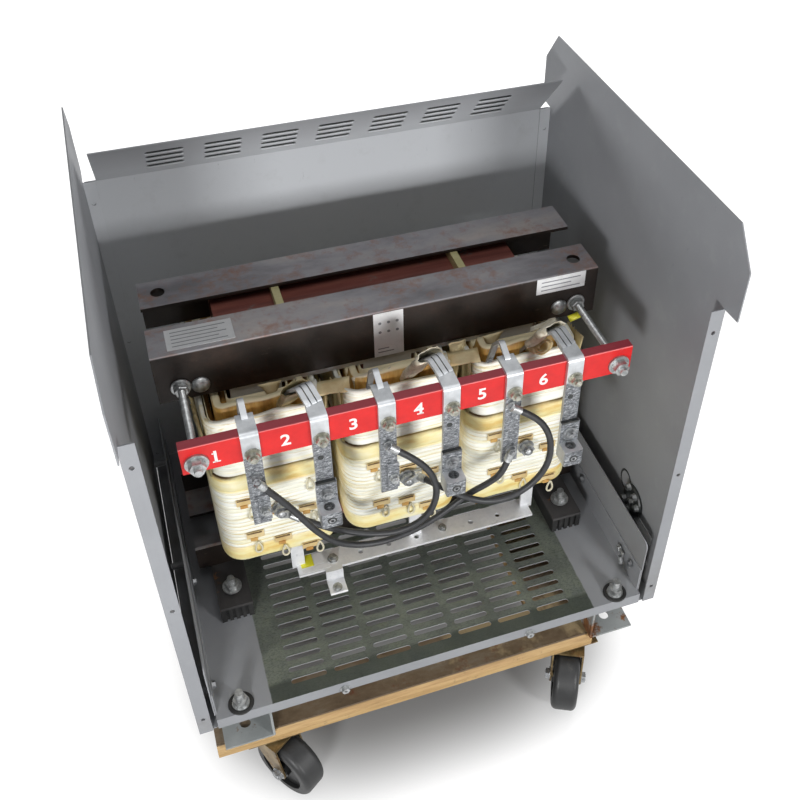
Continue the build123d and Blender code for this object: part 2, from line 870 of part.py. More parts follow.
def side_rail(end, label):
    """A long rail of the dolly between the two cross rails."""
    mid_x = rail_left + rail_depth / 2 if end < 0 else rail_right - rail_depth / 2
    length = -2 * (rail_front + rail_depth)
    with BuildPart() as rail:
        with Locations((mid_x, 0, caster_height)):
            Box(rail_depth, length, rail_thickness, align=(Align.CENTER, Align.CENTER, Align.MIN))
        chamfer(rail.edges().filter_by(Axis.Y), sheet)
    rail.part.label = label
    export_step(rail.part, f"parts/{label}.step")


side_rail(-1, "dolly_left_rail")
side_rail(1, "dolly_right_rail")


def caster(x, y, heading, label):
    """A swivel caster: fixed top plate and king pin, turning fork with axle, and its wheel."""
    place = Location((x, y, 0), (0, 0, heading))
    plate_low = caster_height - plate_wall
    race_low = plate_low - race_height
    head_top = race_low - race_gap
    head_low = head_top - fork_head_height
    side_in_fork = wheel_width / 2 + fork_side_gap
    with BuildPart() as plate:
        with Locations((x, y, plate_low)):
            Box(plate_length, plate_width, plate_wall, align=(Align.CENTER, Align.CENTER, Align.MIN))
        with Locations((x, y, race_low)):
            Cylinder(race_radius, race_height, align=(Align.CENTER, Align.CENTER, Align.MIN))
        with Locations((x, y, head_low)):
            Cylinder(
                king_radius,
                race_height + fork_head_height,
                align=(Align.CENTER, Align.CENTER, Align.MIN),
            )
    plate.part.label = f"caster_plate_{label}"
    export_step(plate.part, f"parts/caster_plate_{label}.step")

    with BuildPart() as fork:
        with BuildSketch(Plane.XY.offset(head_low)):
            with Locations((fork_head_length / 2 - race_radius, 0)):
                Rectangle(fork_head_length, 2 * side_in_fork + 2 * fork_wall)
            Circle(king_radius + running_gap, mode=Mode.SUBTRACT)
        extrude(amount=fork_head_height)
        with BuildSketch(Plane.XZ.offset(side_in_fork)):
            with BuildLine():
                Polyline(
                    (-race_radius, head_low),
                    (fork_head_length - race_radius, head_low),
                    (trail + fork_boss_radius, wheel_radius),
                    (trail - fork_boss_radius, wheel_radius),
                    close=True,
                )
            make_face()
            with Locations((trail, wheel_radius)):
                Circle(fork_boss_radius)
        leg = extrude(amount=fork_wall)
        mirror(leg, about=Plane.XZ)
        axle_half = side_in_fork + fork_wall + axle_stick_out
        with Locations(Location((trail, 0, wheel_radius), (90, 0, 0))):
            Cylinder(axle_radius, 2 * axle_half)
    fork.part.locate(place)
    fork.part.label = f"caster_fork_{label}"
    export_step(fork.part, f"parts/caster_fork_{label}.step")

    half = wheel_width / 2
    bore = axle_radius + running_gap
    with BuildPart() as wheel:
        with BuildSketch(Plane.XZ):
            with BuildLine():
                Polyline(
                    (bore, -half),
                    (hub_inner_radius, -half),
                    (hub_inner_radius, -half + hub_recess),
                    (hub_outer_radius, -half + hub_recess),
                    (hub_outer_radius, -half),
                    (wheel_radius, -half),
                    (wheel_radius, half),
                    (hub_outer_radius, half),
                    (hub_outer_radius, half - hub_recess),
                    (hub_inner_radius, half - hub_recess),
                    (hub_inner_radius, half),
                    (bore, half),
                    close=True,
                )
            make_face()
        revolve(axis=Axis.Z)
        rims = wheel.edges().filter_by(GeomType.CIRCLE).sort_by(lambda edge: -edge.radius)[0:2]
        fillet(rims, tread_round)
    wheel.part.locate(place * Location((trail, 0, wheel_radius), (90, 0, 0)))
    wheel.part.label = f"caster_wheel_{label}"
    export_step(wheel.part, f"parts/caster_wheel_{label}.step")


caster(caster_left_x, caster_y, heading_front_left, "front_left")
caster(caster_right_x, caster_y, heading_front_right, "front_right")
caster(caster_left_x, -caster_y, heading_rear_left, "rear_left")
caster(caster_right_x, -caster_y, heading_rear_right, "rear_right")
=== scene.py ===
import math
import bmesh
import bpy
from mathutils import Matrix, Vector, noise


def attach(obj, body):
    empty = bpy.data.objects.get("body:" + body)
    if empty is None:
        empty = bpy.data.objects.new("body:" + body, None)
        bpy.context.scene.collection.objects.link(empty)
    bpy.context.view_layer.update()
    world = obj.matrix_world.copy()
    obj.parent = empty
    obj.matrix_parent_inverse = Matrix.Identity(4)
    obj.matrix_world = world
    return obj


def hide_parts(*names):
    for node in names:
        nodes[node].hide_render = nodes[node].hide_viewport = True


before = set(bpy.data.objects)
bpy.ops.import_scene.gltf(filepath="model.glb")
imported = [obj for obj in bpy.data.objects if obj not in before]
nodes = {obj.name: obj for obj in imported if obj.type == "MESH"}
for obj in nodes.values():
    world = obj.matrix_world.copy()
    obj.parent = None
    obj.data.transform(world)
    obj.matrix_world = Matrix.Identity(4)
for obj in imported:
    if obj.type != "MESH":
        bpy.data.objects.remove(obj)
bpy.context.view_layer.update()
scene = bpy.context.scene
scene.view_settings.view_transform = "Standard"

FRONT_EDGE = 298.5
FLOOR_LEVEL = 270.0
LEGS = (-212.0, 0.0, 212.0)
BARS = tuple(98.5 * (place - 2.5) for place in range(6))
CORE_MIDDLE = 363.0
COIL_FACE = 192.0
BAR_FACE = 104.0


def at(x, y, z):
    """Millimetres across, back from the front edge and up from the floor, as a point in the frame."""
    return Vector((x / 1000, (y - FRONT_EDGE) / 1000, (z + FLOOR_LEVEL) / 1000))


def shade(red, green, blue):
    """A colour picked as 0 to 255 screen values, as the linear values that nodes take."""
    return tuple(
        (c / 255 / 12.92 if c <= 10 else ((c / 255 + 0.055) / 1.055) ** 2.4) for c in (red, green, blue)
    ) + (1.0,)


# Camera at the photograph's place
camera_data = bpy.data.cameras.new("photo_camera")
camera_data.sensor_width = 36.0
camera_data.lens = 45.44
camera_data.shift_x = -0.04875
camera_data.shift_y = -0.0925
camera = bpy.data.objects.new("photo_camera", camera_data)
scene.collection.objects.link(camera)
pitch, yaw, roll = math.radians(40.64), math.radians(19.12), math.radians(0.63)
ahead = Vector((math.sin(yaw) * math.cos(pitch), math.cos(yaw) * math.cos(pitch), -math.sin(pitch)))
across = Vector((math.cos(yaw), -math.sin(yaw), 0.0))
down = ahead.cross(across)
right = math.cos(roll) * across - math.sin(roll) * down
below = math.sin(roll) * across + math.cos(roll) * down
turn = Matrix((right, -below, -ahead)).transposed()
camera.matrix_world = Matrix.Translation((-0.3130, -1.1773, 1.7998)) @ turn.to_4x4()
scene.camera = camera


class Finish:
    """A procedural material whose nodes are added one at a time."""

    def __init__(self, name, rough=0.5, metal=0.0, **sockets):
        self.material = bpy.data.materials.new(name)
        self.material.use_nodes = True
        self.tree = self.material.node_tree
        self.shader = self.tree.nodes["Principled BSDF"]
        self.shader.inputs["Roughness"].default_value = rough
        self.shader.inputs["Metallic"].default_value = metal
        for socket, value in sockets.items():
            self.shader.inputs[socket.replace("_", " ").title()].default_value = value
        self.place = self.add("ShaderNodeTexCoord").outputs["Object"]
        self.split = None
        self.facing = None

    def add(self, kind, **settings):
        node = self.tree.nodes.new(kind)
        for key, value in settings.items():
            setattr(node, key, value)
        return node

    def feed(self, socket, value):
        if isinstance(value, bpy.types.NodeSocket):
            self.tree.links.new(value, socket)
        else:
            socket.default_value = value

    def axis(self, letter):
        if self.split is None:
            self.split = self.add("ShaderNodeSeparateXYZ")
            self.feed(self.split.inputs[0], self.place)
        return self.split.outputs[letter]

    def normal(self, letter):
        if self.facing is None:
            self.facing = self.add("ShaderNodeSeparateXYZ")
            self.feed(self.facing.inputs[0], self.add("ShaderNodeNewGeometry").outputs["Normal"])
        return self.facing.outputs[letter]

    def noise(self, scale, detail=4.0, rough=0.55, stretch=(1, 1, 1), shift=0.0):
        spread = self.add("ShaderNodeMapping")
        self.feed(spread.inputs["Vector"], self.place)
        spread.inputs["Scale"].default_value = stretch
        spread.inputs["Location"].default_value = (shift, shift * 0.7, shift * 1.3)
        grain = self.add("ShaderNodeTexNoise")
        self.feed(grain.inputs["Vector"], spread.outputs[0])
        grain.inputs["Scale"].default_value = scale
        grain.inputs["Detail"].default_value = detail
        grain.inputs["Roughness"].default_value = rough
        return grain.outputs["Fac"]

    def cells(self, scale, feature="F1", stretch=(1, 1, 1)):
        spread = self.add("ShaderNodeMapping")
        self.feed(spread.inputs["Vector"], self.place)
        spread.inputs["Scale"].default_value = stretch
        spots = self.add("ShaderNodeTexVoronoi", feature=feature)
        self.feed(spots.inputs["Vector"], spread.outputs[0])
        spots.inputs["Scale"].default_value = scale
        return spots.outputs["Distance"]

    def band(self, value, low, high, out_low=0.0, out_high=1.0):
        step = self.add("ShaderNodeMapRange")
        for key, number in (("Value", value), ("From Min", low), ("From Max", high)):
            self.feed(step.inputs[key], number)
        step.inputs["To Min"].default_value = out_low
        step.inputs["To Max"].default_value = out_high
        return step.outputs[0]

    def math(self, operation, first, second=0.0):
        sum_node = self.add("ShaderNodeMath", operation=operation)
        self.feed(sum_node.inputs[0], first)
        self.feed(sum_node.inputs[1], second)
        return sum_node.outputs[0]

    def mix(self, share, first, second, blend="MIX"):
        blender = self.add("ShaderNodeMix", data_type="RGBA", blend_type=blend)
        self.feed(blender.inputs["Factor"], share)
        self.feed(blender.inputs[6], first)
        self.feed(blender.inputs[7], second)
        return blender.outputs[2]

    def ramp(self, value, *stops):
        slope = self.add("ShaderNodeValToRGB")
        self.feed(slope.inputs[0], value)
        while len(slope.color_ramp.elements) < len(stops):
            slope.color_ramp.elements.new(0.5)
        for element, (place, colour) in zip(slope.color_ramp.elements, stops):
            element.position = place
            element.color = colour
        return slope.outputs[0]

    def attribute(self, name):
        return self.add("ShaderNodeAttribute", attribute_name=name).outputs["Fac"]

    def colour(self, value):
        self.feed(self.shader.inputs["Base Color"], value)

    def roughness(self, value, low, high):
        self.feed(self.shader.inputs["Roughness"], self.band(value, 0.0, 1.0, low, high))

    def bump(self, height, strength=0.3, distance=0.001):
        relief = self.add("ShaderNodeBump")
        relief.inputs["Strength"].default_value = strength
        relief.inputs["Distance"].default_value = distance
        self.feed(relief.inputs["Height"], height)
        if self.shader.inputs["Normal"].is_linked:
            self.feed(relief.inputs["Normal"], self.shader.inputs["Normal"].links[0].from_socket)
        self.feed(self.shader.inputs["Normal"], relief.outputs[0])


def enclosure_paint():
    """Grey powder coat: the back wall's inner face painted paler as painted light, dust, rubs, scratches and
    splashes low down.
    """
    f = Finish("enclosure_paint", rough=0.45)
    cloud = f.noise(3.0, 5.0)
    base = f.ramp(cloud, (0.3, shade(140, 142, 146)), (0.7, shade(156, 158, 162)))
    # The back wall's inner face is mixed toward a paler grey: painted light for the lamps' light on it.
    back_wall_painted_light = f.math("MULTIPLY", f.band(f.normal("Y"), -0.4, -0.8), f.band(f.axis("Y"), 0.2, 0.28))
    base = f.mix(f.math("MULTIPLY", back_wall_painted_light, 0.75), base, shade(214, 217, 221))
    dust = f.band(f.noise(24.0, 6.0, 0.7), 0.55, 0.8)
    base = f.mix(f.math("MULTIPLY", dust, 0.3), base, shade(166, 168, 168))
    rub = f.band(f.noise(90.0, 8.0, 0.75, stretch=(1.0, 1.0, 0.25), shift=5.0), 0.66, 0.72)
    base = f.mix(f.math("MULTIPLY", rub, 0.42), base, shade(84, 86, 90))
    scratch = f.band(f.noise(30.0, 9.0, 0.85, stretch=(0.5, 0.5, 4.0), shift=8.0), 0.7, 0.73)
    base = f.mix(f.math("MULTIPLY", scratch, 0.6), base, shade(196, 198, 200))
    low_down = f.band(f.axis("Z"), 0.42, 0.24)
    splash = f.math("MULTIPLY", low_down, f.band(f.noise(9.0, 7.0, 0.7, shift=3.0), 0.42, 0.66))
    base = f.mix(f.math("MULTIPLY", splash, 0.5), base, shade(112, 104, 92))
    f.colour(base)
    f.roughness(f.noise(18.0, 5.0), 0.56, 0.62)
    f.bump(f.noise(900.0, 2.0), 0.12, 0.0004)
    return f.material


def floor_paint():
    """The pan: the same grey, with an oily green-brown stain over the slotted middle."""
    f = Finish("floor_paint", rough=0.42)
    cloud = f.noise(5.0, 5.0)
    grey = f.ramp(cloud, (0.3, shade(132, 134, 138)), (0.7, shade(148, 150, 154)))
    grime = f.ramp(
        f.noise(14.0, 8.0, 0.65),
        (0.28, shade(40, 45, 42)),
        (0.45, shade(78, 85, 77)),
        (0.58, shade(104, 111, 98)),
        (0.72, shade(70, 76, 76)),
    )
    moss = f.band(f.noise(30.0, 6.0, 0.7, shift=4.0), 0.52, 0.7)
    grime = f.mix(f.math("MULTIPLY", moss, 0.6), grime, shade(92, 100, 70))
    specks = f.band(f.cells(160.0), 0.1, 0.25)
    grime = f.mix(f.math("MULTIPLY", specks, 0.3), grime, shade(126, 131, 126))
    grit = f.band(f.noise(340.0, 4.0, 0.8, stretch=(0.6, 1.4, 1.0), shift=1.0), 0.48, 0.62)
    grime = f.mix(f.math("MULTIPLY", grit, 0.5), grime, shade(38, 43, 40))
    ragged = f.band(f.noise(60.0, 3.0), 0.0, 1.0, -0.0015, 0.0015)
    edge = f.math("ADD", f.math("ABSOLUTE", f.axis("X")), ragged)
    inside = f.band(edge, 0.287, 0.285)
    on_top = f.band(f.normal("Z"), 0.4, 0.6)
    base = f.mix(f.math("MULTIPLY", inside, on_top), grey, grime)
    front_band = f.math("MULTIPLY", f.band(f.axis("Y"), -0.262, -0.269), on_top)
    base = f.mix(f.math("MULTIPLY", f.math("MULTIPLY", front_band, inside), 0.7), base, shade(34, 42, 36))
    f.colour(base)
    f.roughness(f.noise(90.0, 5.0), 0.32, 0.62)
    f.bump(f.noise(420.0, 4.0, 0.7), 0.25, 0.0006)
    return f.material


def rusty_grey(name, light, dark, rust_level, rust_right=0.0):
    """Old grey paint with rust that bleeds and runs, heavier on the right if so asked."""
    f = Finish(name, rough=0.6)
    base = f.ramp(f.noise(12.0, 6.0), (0.3, dark), (0.7, light))
    bleed = f.noise(22.0, 8.0, 0.7, stretch=(1.0, 1.0, 0.45), shift=2.0)
    rust = f.ramp(
        f.noise(70.0, 6.0),
        (0.3, shade(70, 46, 30)),
        (0.55, shade(122, 78, 42)),
        (0.8, shade(164, 112, 62)),
    )
    bleed = f.math("ADD", bleed, f.band(f.axis("X"), 0.2, 0.3, 0.0, rust_right))
    base = f.mix(f.band(bleed, rust_level, rust_level + 0.07), base, rust)
    f.colour(base)
    f.roughness(bleed, 0.45, 0.85)
    f.bump(f.noise(260.0, 5.0, 0.7), 0.3, 0.0006)
    return f.material


def clamp_scale():
    """Hot-rolled angle: blue-grey mill scale on top, brown rust bloom, dark brown upright faces."""
    f = Finish("clamp_scale", rough=0.42, metal=0.35)
    top = f.ramp(
        f.noise(9.0, 8.0, 0.65, stretch=(0.6, 1.4, 1.0)),
        (0.3, shade(122, 120, 124)),
        (0.5, shade(156, 154, 158)),
        (0.7, shade(182, 174, 170)),
    )
    bloom = f.band(f.noise(26.0, 8.0, 0.72, shift=3.0), 0.5, 0.68)
    top = f.mix(f.math("MULTIPLY", bloom, 0.75), top, shade(150, 106, 86))
    side = f.ramp(
        f.noise(11.0, 7.0, 0.65, shift=6.0),
        (0.3, shade(26, 22, 20)),
        (0.55, shade(44, 35, 30)),
        (0.75, shade(66, 50, 42)),
    )
    upward = f.band(f.normal("Z"), 0.35, 0.75)
    base = f.mix(upward, side, top)
    scuff = f.band(f.noise(48.0, 8.0, 0.75, stretch=(0.3, 1.0, 1.0), shift=9.0), 0.62, 0.72)
    base = f.mix(f.math("MULTIPLY", scuff, 0.45), base, shade(140, 122, 110))
    f.colour(base)
    f.roughness(f.noise(50.0, 6.0), 0.3, 0.6)
    f.bump(f.noise(180.0, 6.0, 0.7), 0.3, 0.0008)
    return f.material


def core_varnish():
    """Stacked steel sheets seen on edge under red-brown varnish that has flaked in places."""
    f = Finish("core_varnish", rough=0.4)
    sheets = f.add("ShaderNodeTexWave", wave_type="BANDS", bands_direction="Y", wave_profile="SAW")
    f.feed(sheets.inputs["Vector"], f.place)
    sheets.inputs["Scale"].default_value = 110.0
    sheets.inputs["Distortion"].default_value = 0.6
    sheets.inputs["Detail"].default_value = 1.0
    varnish = f.ramp(
        f.noise(30.0, 6.0, 0.6, stretch=(0.15, 1.6, 1.0)),
        (0.3, shade(114, 68, 62)),
        (0.55, shade(152, 92, 82)),
        (0.75, shade(178, 116, 100)),
    )
    cloud = f.noise(14.0, 5.0)
    flaked = f.band(f.noise(20.0, 7.0, 0.7, stretch=(0.7, 1.0, 1.0), shift=5.0), 0.58, 0.63)
    base = f.mix(f.math("MULTIPLY", flaked, 0.75), varnish, shade(126, 124, 122))
    base = f.mix(f.band(sheets.outputs["Fac"], 0.75, 0.95, 0.0, 0.55), base, shade(26, 15, 12))
    # The core legs' front faces between these heights are pale grey.
    pale_leg_fronts = f.math("MULTIPLY", f.band(f.axis("Z"), 0.722, 0.716), f.band(f.normal("Y"), -0.5, -0.8))
    pale_leg_fronts = f.math("MULTIPLY", pale_leg_fronts, f.band(f.axis("Z"), 0.42, 0.44))
    base = f.mix(pale_leg_fronts, base, f.ramp(cloud, (0.3, shade(176, 174, 176)), (0.7, shade(206, 204, 204))))
    f.colour(base)
    f.roughness(flaked, 0.34, 0.6)
    f.bump(sheets.outputs["Fac"], 0.4, 0.0005)
    return f.material


def coil_paper():
    """Varnished white paper over the turns: yellow in the seams and bands; darker yellow grooves, partly
    varnish and partly painted shade; a brown step line, partly stain and partly painted shade; beige sides
    kept pale as painted light.
    """
    f = Finish("coil_paper", rough=0.42)
    groove = f.attribute("groove")
    soak = f.attribute("soak")
    side = f.band(f.math("ABSOLUTE", f.normal("X")), 0.86, 1.0)
    paper = f.ramp(
        f.noise(16.0, 6.0, 0.6, stretch=(0.7, 0.7, 4.0)),
        (0.3, shade(236, 234, 214)),
        (0.5, shade(246, 247, 236)),
        (0.7, shade(251, 252, 246)),
    )
    streak = f.band(f.noise(6.0, 6.0, 0.65, stretch=(1.0, 1.0, 18.0), shift=3.0), 0.54, 0.66)
    paper = f.mix(f.math("MULTIPLY", streak, 0.55), paper, shade(240, 228, 158))
    seam = f.noise(9.0, 9.0, 0.72, stretch=(0.7, 0.7, 26.0), shift=6.0)
    paper = f.mix(f.band(seam, 0.585, 0.62, 0.0, 0.65), paper, shade(206, 178, 92))
    paper = f.mix(f.band(seam, 0.4, 0.37, 0.0, 0.5), paper, shade(255, 255, 252))
    # Grooves between turns: darker yellow, partly varnish and partly painted shade.
    paper = f.mix(f.math("MULTIPLY", groove, 0.95), paper, shade(204, 176, 86))
    amber = f.ramp(
        f.noise(30.0, 6.0, 0.6, stretch=(0.5, 0.5, 1.6)),
        (0.32, shade(226, 190, 96)),
        (0.5, shade(242, 228, 160)),
        (0.72, shade(247, 243, 216)),
    )
    paper = f.mix(soak, paper, amber)
    # Faces turned sideways take the beige of the side paper, kept paler than that paper as painted light.
    paper = f.mix(f.math("MULTIPLY", side, 0.8), paper, shade(248, 232, 184))
    # Brown line in the step between lower and upper wraps, at the corners: partly stain, partly painted
    # shade.
    step_stain_and_shade = f.attribute("step_stain_and_shade")
    paper = f.mix(step_stain_and_shade, paper, shade(84, 52, 18))
    f.colour(paper)
    f.roughness(f.noise(40.0, 4.0), 0.3, 0.55)
    f.bump(f.noise(220.0, 5.0, 0.6, stretch=(0.5, 0.5, 2.0)), 0.28, 0.0006)
    return f.material


def inner_paper():
    """The inner winding's golden kraft wall, its cut top edge cream."""
    f = Finish("inner_paper", rough=0.45)
    strands = f.noise(60.0, 6.0, 0.6, stretch=(1.0, 1.0, 0.25))
    wall_tone = f.ramp(
        strands, (0.3, shade(128, 92, 36)), (0.5, shade(186, 144, 70)), (0.72, shade(222, 190, 118))
    )
    rim = f.band(f.normal("Z"), 0.35, 0.7)
    f.colour(f.mix(rim, wall_tone, shade(240, 228, 190)))
    f.roughness(strands, 0.32, 0.6)
    f.bump(strands, 0.3, 0.0008)
    return f.material


def kraft(name, light, dark):
    """Brown insulating paper soaked in varnish."""
    f = Finish(name, rough=0.5)
    tone = f.ramp(f.noise(38.0, 6.0, 0.6, stretch=(1.0, 1.0, 0.5)), (0.3, dark), (0.7, light))
    f.colour(tone)
    f.roughness(f.noise(60.0, 4.0), 0.36, 0.64)
    f.bump(f.noise(520.0, 3.0, 0.6, stretch=(1.0, 1.0, 0.25)), 0.3, 0.0005)
    return f.material


def crepe():
    """Crinkled cream crepe paper of the lead sleeves."""
    f = Finish("crepe_paper", rough=0.7)
    folds = f.noise(150.0, 4.0, 0.6, stretch=(0.35, 1.0, 1.0))
    tone = f.ramp(
        folds,
        (0.3, shade(200, 190, 162)),
        (0.5, shade(230, 223, 202)),
        (0.75, shade(246, 242, 226)),
    )
    stain = f.band(f.noise(18.0, 5.0, 0.6), 0.5, 0.72)
    f.colour(f.mix(f.math("MULTIPLY", stain, 0.35), tone, shade(170, 140, 88)))
    f.roughness(folds, 0.55, 0.85)
    f.bump(folds, 0.5, 0.0012)
    return f.material


def bar_aluminium():
    """Aluminium bar: bright over the bend and above the bolts, darker and speckled down its front below them,
    with a hammered relief there.
    """
    f = Finish("bar_aluminium", rough=0.4, metal=0.75)
    patch = f.noise(26.0, 5.0, 0.6)
    bright = f.ramp(
        patch,
        (0.3, shade(168, 171, 175)),
        (0.5, shade(196, 199, 202)),
        (0.72, shade(220, 222, 225)),
    )
    brushed = f.noise(60.0, 8.0, 0.75, stretch=(9.0, 1.0, 0.5))
    bright = f.mix(f.band(brushed, 0.58, 0.74, 0.0, 0.45), bright, shade(140, 142, 146))
    hammered = f.noise(190.0, 7.0, 0.8, stretch=(0.7, 1.0, 1.5), shift=2.0)
    dark = f.ramp(
        hammered,
        (0.34, shade(44, 46, 49)),
        (0.46, shade(104, 107, 111)),
        (0.56, shade(150, 153, 157)),
        (0.66, shade(236, 238, 240)),
    )
    below = f.math("ADD", f.axis("Z"), f.band(patch, 0.3, 0.7, -0.006, 0.006))
    # The front face below the bolts is darker and speckled.
    darker_below_bolts = f.math("MULTIPLY", f.band(below, 0.742, 0.736), f.band(f.normal("Y"), -0.3, -0.7))
    led = f.math("MULTIPLY", f.band(f.axis("Y"), -0.164, -0.158), f.band(patch, 0.25, 0.75, 0.35, 0.8))
    bright = f.mix(led, bright, shade(150, 152, 155))
    f.colour(f.mix(darker_below_bolts, bright, dark))
    f.roughness(hammered, 0.3, 0.6)
    f.bump(brushed, 0.2, 0.0004)
    f.bump(f.math("MULTIPLY", hammered, darker_below_bolts), 0.7, 0.0016)
    return f.material


def neutral_aluminium():
    """Mill-finish aluminium strip, bright and lightly dented."""
    f = Finish("neutral_aluminium", rough=0.38, metal=0.25)
    dents = f.noise(70.0, 5.0, 0.6)
    tone = f.ramp(f.noise(30.0, 6.0, 0.7), (0.3, shade(216, 218, 221)), (0.7, shade(240, 241, 243)))
    f.colour(f.mix(f.band(dents, 0.6, 0.72, 0.0, 0.4), tone, shade(170, 172, 176)))
    f.roughness(dents, 0.26, 0.46)
    f.bump(dents, 0.2, 0.0006)
    return f.material


def zinc(name, tint, dull):
    """Zinc-plated steel with a faint yellow passivation and grey bloom."""
    f = Finish(name, rough=0.34, metal=0.8)
    bloom = f.noise(140.0, 5.0, 0.65)
    tone = f.ramp(bloom, (0.3, dull), (0.6, tint), (0.8, shade(226, 228, 230)))
    rust = f.band(f.noise(90.0, 6.0, 0.7, shift=8.0), 0.64, 0.72)
    f.colour(f.mix(f.math("MULTIPLY", rust, 0.5), tone, shade(128, 86, 52)))
    f.roughness(bloom, 0.25, 0.5)
    f.bump(bloom, 0.15, 0.0003)
    return f.material


def terminal_red():
    """Red moulded laminate bar: top faces painted a muted pink as painted shade, and a pale line along its
    top edges, partly wear and partly a painted highlight.
    """
    f = Finish("terminal_red", rough=0.38)
    tone = f.ramp(f.noise(36.0, 6.0, 0.6), (0.3, shade(200, 22, 24)), (0.7, shade(220, 30, 28)))
    fibre = f.band(f.noise(160.0, 6.0, 0.7, stretch=(0.2, 1.0, 1.0)), 0.6, 0.74)
    tone = f.mix(f.math("MULTIPLY", fibre, 0.18), tone, shade(236, 84, 76))
    # Top faces mixed toward a muted pink: painted shade of the same red paint.
    upward = f.band(f.normal("Z"), 0.7, 0.98)
    tone = f.mix(f.math("MULTIPLY", upward, 0.75), tone, shade(172, 66, 82))
    # Pale line along the rounded top edges: partly wear, partly a painted highlight.
    worn = f.math("MULTIPLY", f.band(f.normal("Z"), 0.25, 0.4), f.band(f.normal("Z"), 0.95, 0.8))
    tone = f.mix(f.math("MULTIPLY", worn, 0.55), tone, shade(244, 150, 150))
    f.colour(tone)
    f.roughness(f.noise(70.0, 4.0), 0.3, 0.48)
    f.bump(f.noise(260.0, 4.0), 0.12, 0.0004)
    return f.material


def cable_black():
    """Black cable jacket with a dusty sheen."""
    f = Finish("cable_black", rough=0.42)
    scuff = f.noise(80.0, 6.0, 0.7)
    f.colour(f.ramp(scuff, (0.35, shade(26, 27, 29)), (0.65, shade(46, 47, 50)), (0.85, shade(84, 85, 88))))
    f.roughness(scuff, 0.34, 0.58)
    f.bump(f.noise(600.0, 3.0), 0.15, 0.0003)
    return f.material


def rubber(name, dark, light, gloss=0.45):
    """Black rubber greyed by dust."""
    f = Finish(name, rough=0.6)
    dust = f.noise(34.0, 7.0, 0.7)
    f.colour(f.ramp(dust, (0.4, dark), (0.62, light), (0.85, shade(92, 90, 86))))
    f.roughness(dust, gloss, gloss + 0.35)
    f.bump(f.noise(300.0, 4.0), 0.25, 0.0005)
    return f.material


def dolly_wood(name, along):
    """Tan hardwood rails: planed faces with grain, a scuffed grey-brown top, dark knots."""
    f = Finish(name, rough=0.62)
    stretch = (0.12, 1.6, 1.6) if along == "X" else (1.6, 0.12, 1.6)
    grain = f.noise(42.0, 8.0, 0.7, stretch=stretch)
    face = f.ramp(
        grain, (0.28, shade(146, 112, 66)), (0.5, shade(188, 154, 104)), (0.72, shade(210, 180, 130))
    )
    worn = f.ramp(
        f.noise(26.0, 8.0, 0.72, stretch=(0.5, 1.0, 1.0)),
        (0.3, shade(86, 70, 52)),
        (0.5, shade(116, 98, 76)),
        (0.7, shade(132, 122, 106)),
    )
    upward = f.band(f.normal("Z"), 0.85, 0.95)
    pale = f.band(f.noise(7.0, 5.0, 0.6, shift=2.0), 0.56, 0.62)
    worn = f.mix(f.math("MULTIPLY", pale, 0.55), worn, shade(196, 174, 132))
    rusted = f.band(f.noise(15.0, 7.0, 0.7, shift=11.0), 0.6, 0.68)
    worn = f.mix(f.math("MULTIPLY", rusted, 0.8), worn, shade(106, 54, 30))
    tone = f.mix(upward, face, worn)
    knot = f.band(f.cells(14.0, stretch=stretch), 0.06, 0.02)
    tone = f.mix(f.math("MULTIPLY", knot, 0.6), tone, shade(88, 58, 32))
    soil = f.band(f.noise(60.0, 6.0, 0.7, shift=7.0), 0.6, 0.72)
    tone = f.mix(f.math("MULTIPLY", soil, 0.45), tone, shade(86, 66, 44))
    off_ridge = f.math("SUBTRACT", f.math("ABSOLUTE", f.axis("Y")), 0.2832)
    ridge = f.band(f.math("ABSOLUTE", off_ridge), 0.0018, 0.0008)
    ridge = f.math("MULTIPLY", ridge, f.band(f.normal("Z"), 0.6, 0.7))
    tone = f.mix(f.math("MULTIPLY", ridge, 0.85), tone, shade(44, 32, 22))
    f.colour(tone)
    f.roughness(grain, 0.5, 0.78)
    f.bump(grain, 0.3, 0.0008)
    return f.material


def caster_steel():
    """Yellow-zinc pressed forks gone brown with grease and rust."""
    f = Finish("caster_steel", rough=0.5, metal=0.55)
    tone = f.ramp(
        f.noise(30.0, 7.0, 0.65),
        (0.3, shade(74, 60, 40)),
        (0.5, shade(128, 108, 72)),
        (0.72, shade(168, 146, 104)),
    )
    rust = f.band(f.noise(48.0, 7.0, 0.7, shift=3.0), 0.55, 0.66)
    tone = f.mix(f.math("MULTIPLY", rust, 0.7), tone, shade(96, 54, 28))
    f.colour(tone)
    f.roughness(rust, 0.38, 0.75)
    f.bump(f.noise(240.0, 5.0, 0.7), 0.25, 0.0005)
    return f.material


def plain_label(name, tone):
    """A bare sticker or plate, a little soiled."""
    f = Finish(name, rough=0.45)
    soil = f.band(f.noise(60.0, 6.0, 0.7), 0.5, 0.8)
    f.colour(f.mix(f.math("MULTIPLY", soil, 0.3), tone, shade(150, 146, 138)))
    f.roughness(soil, 0.36, 0.6)
    return f.material


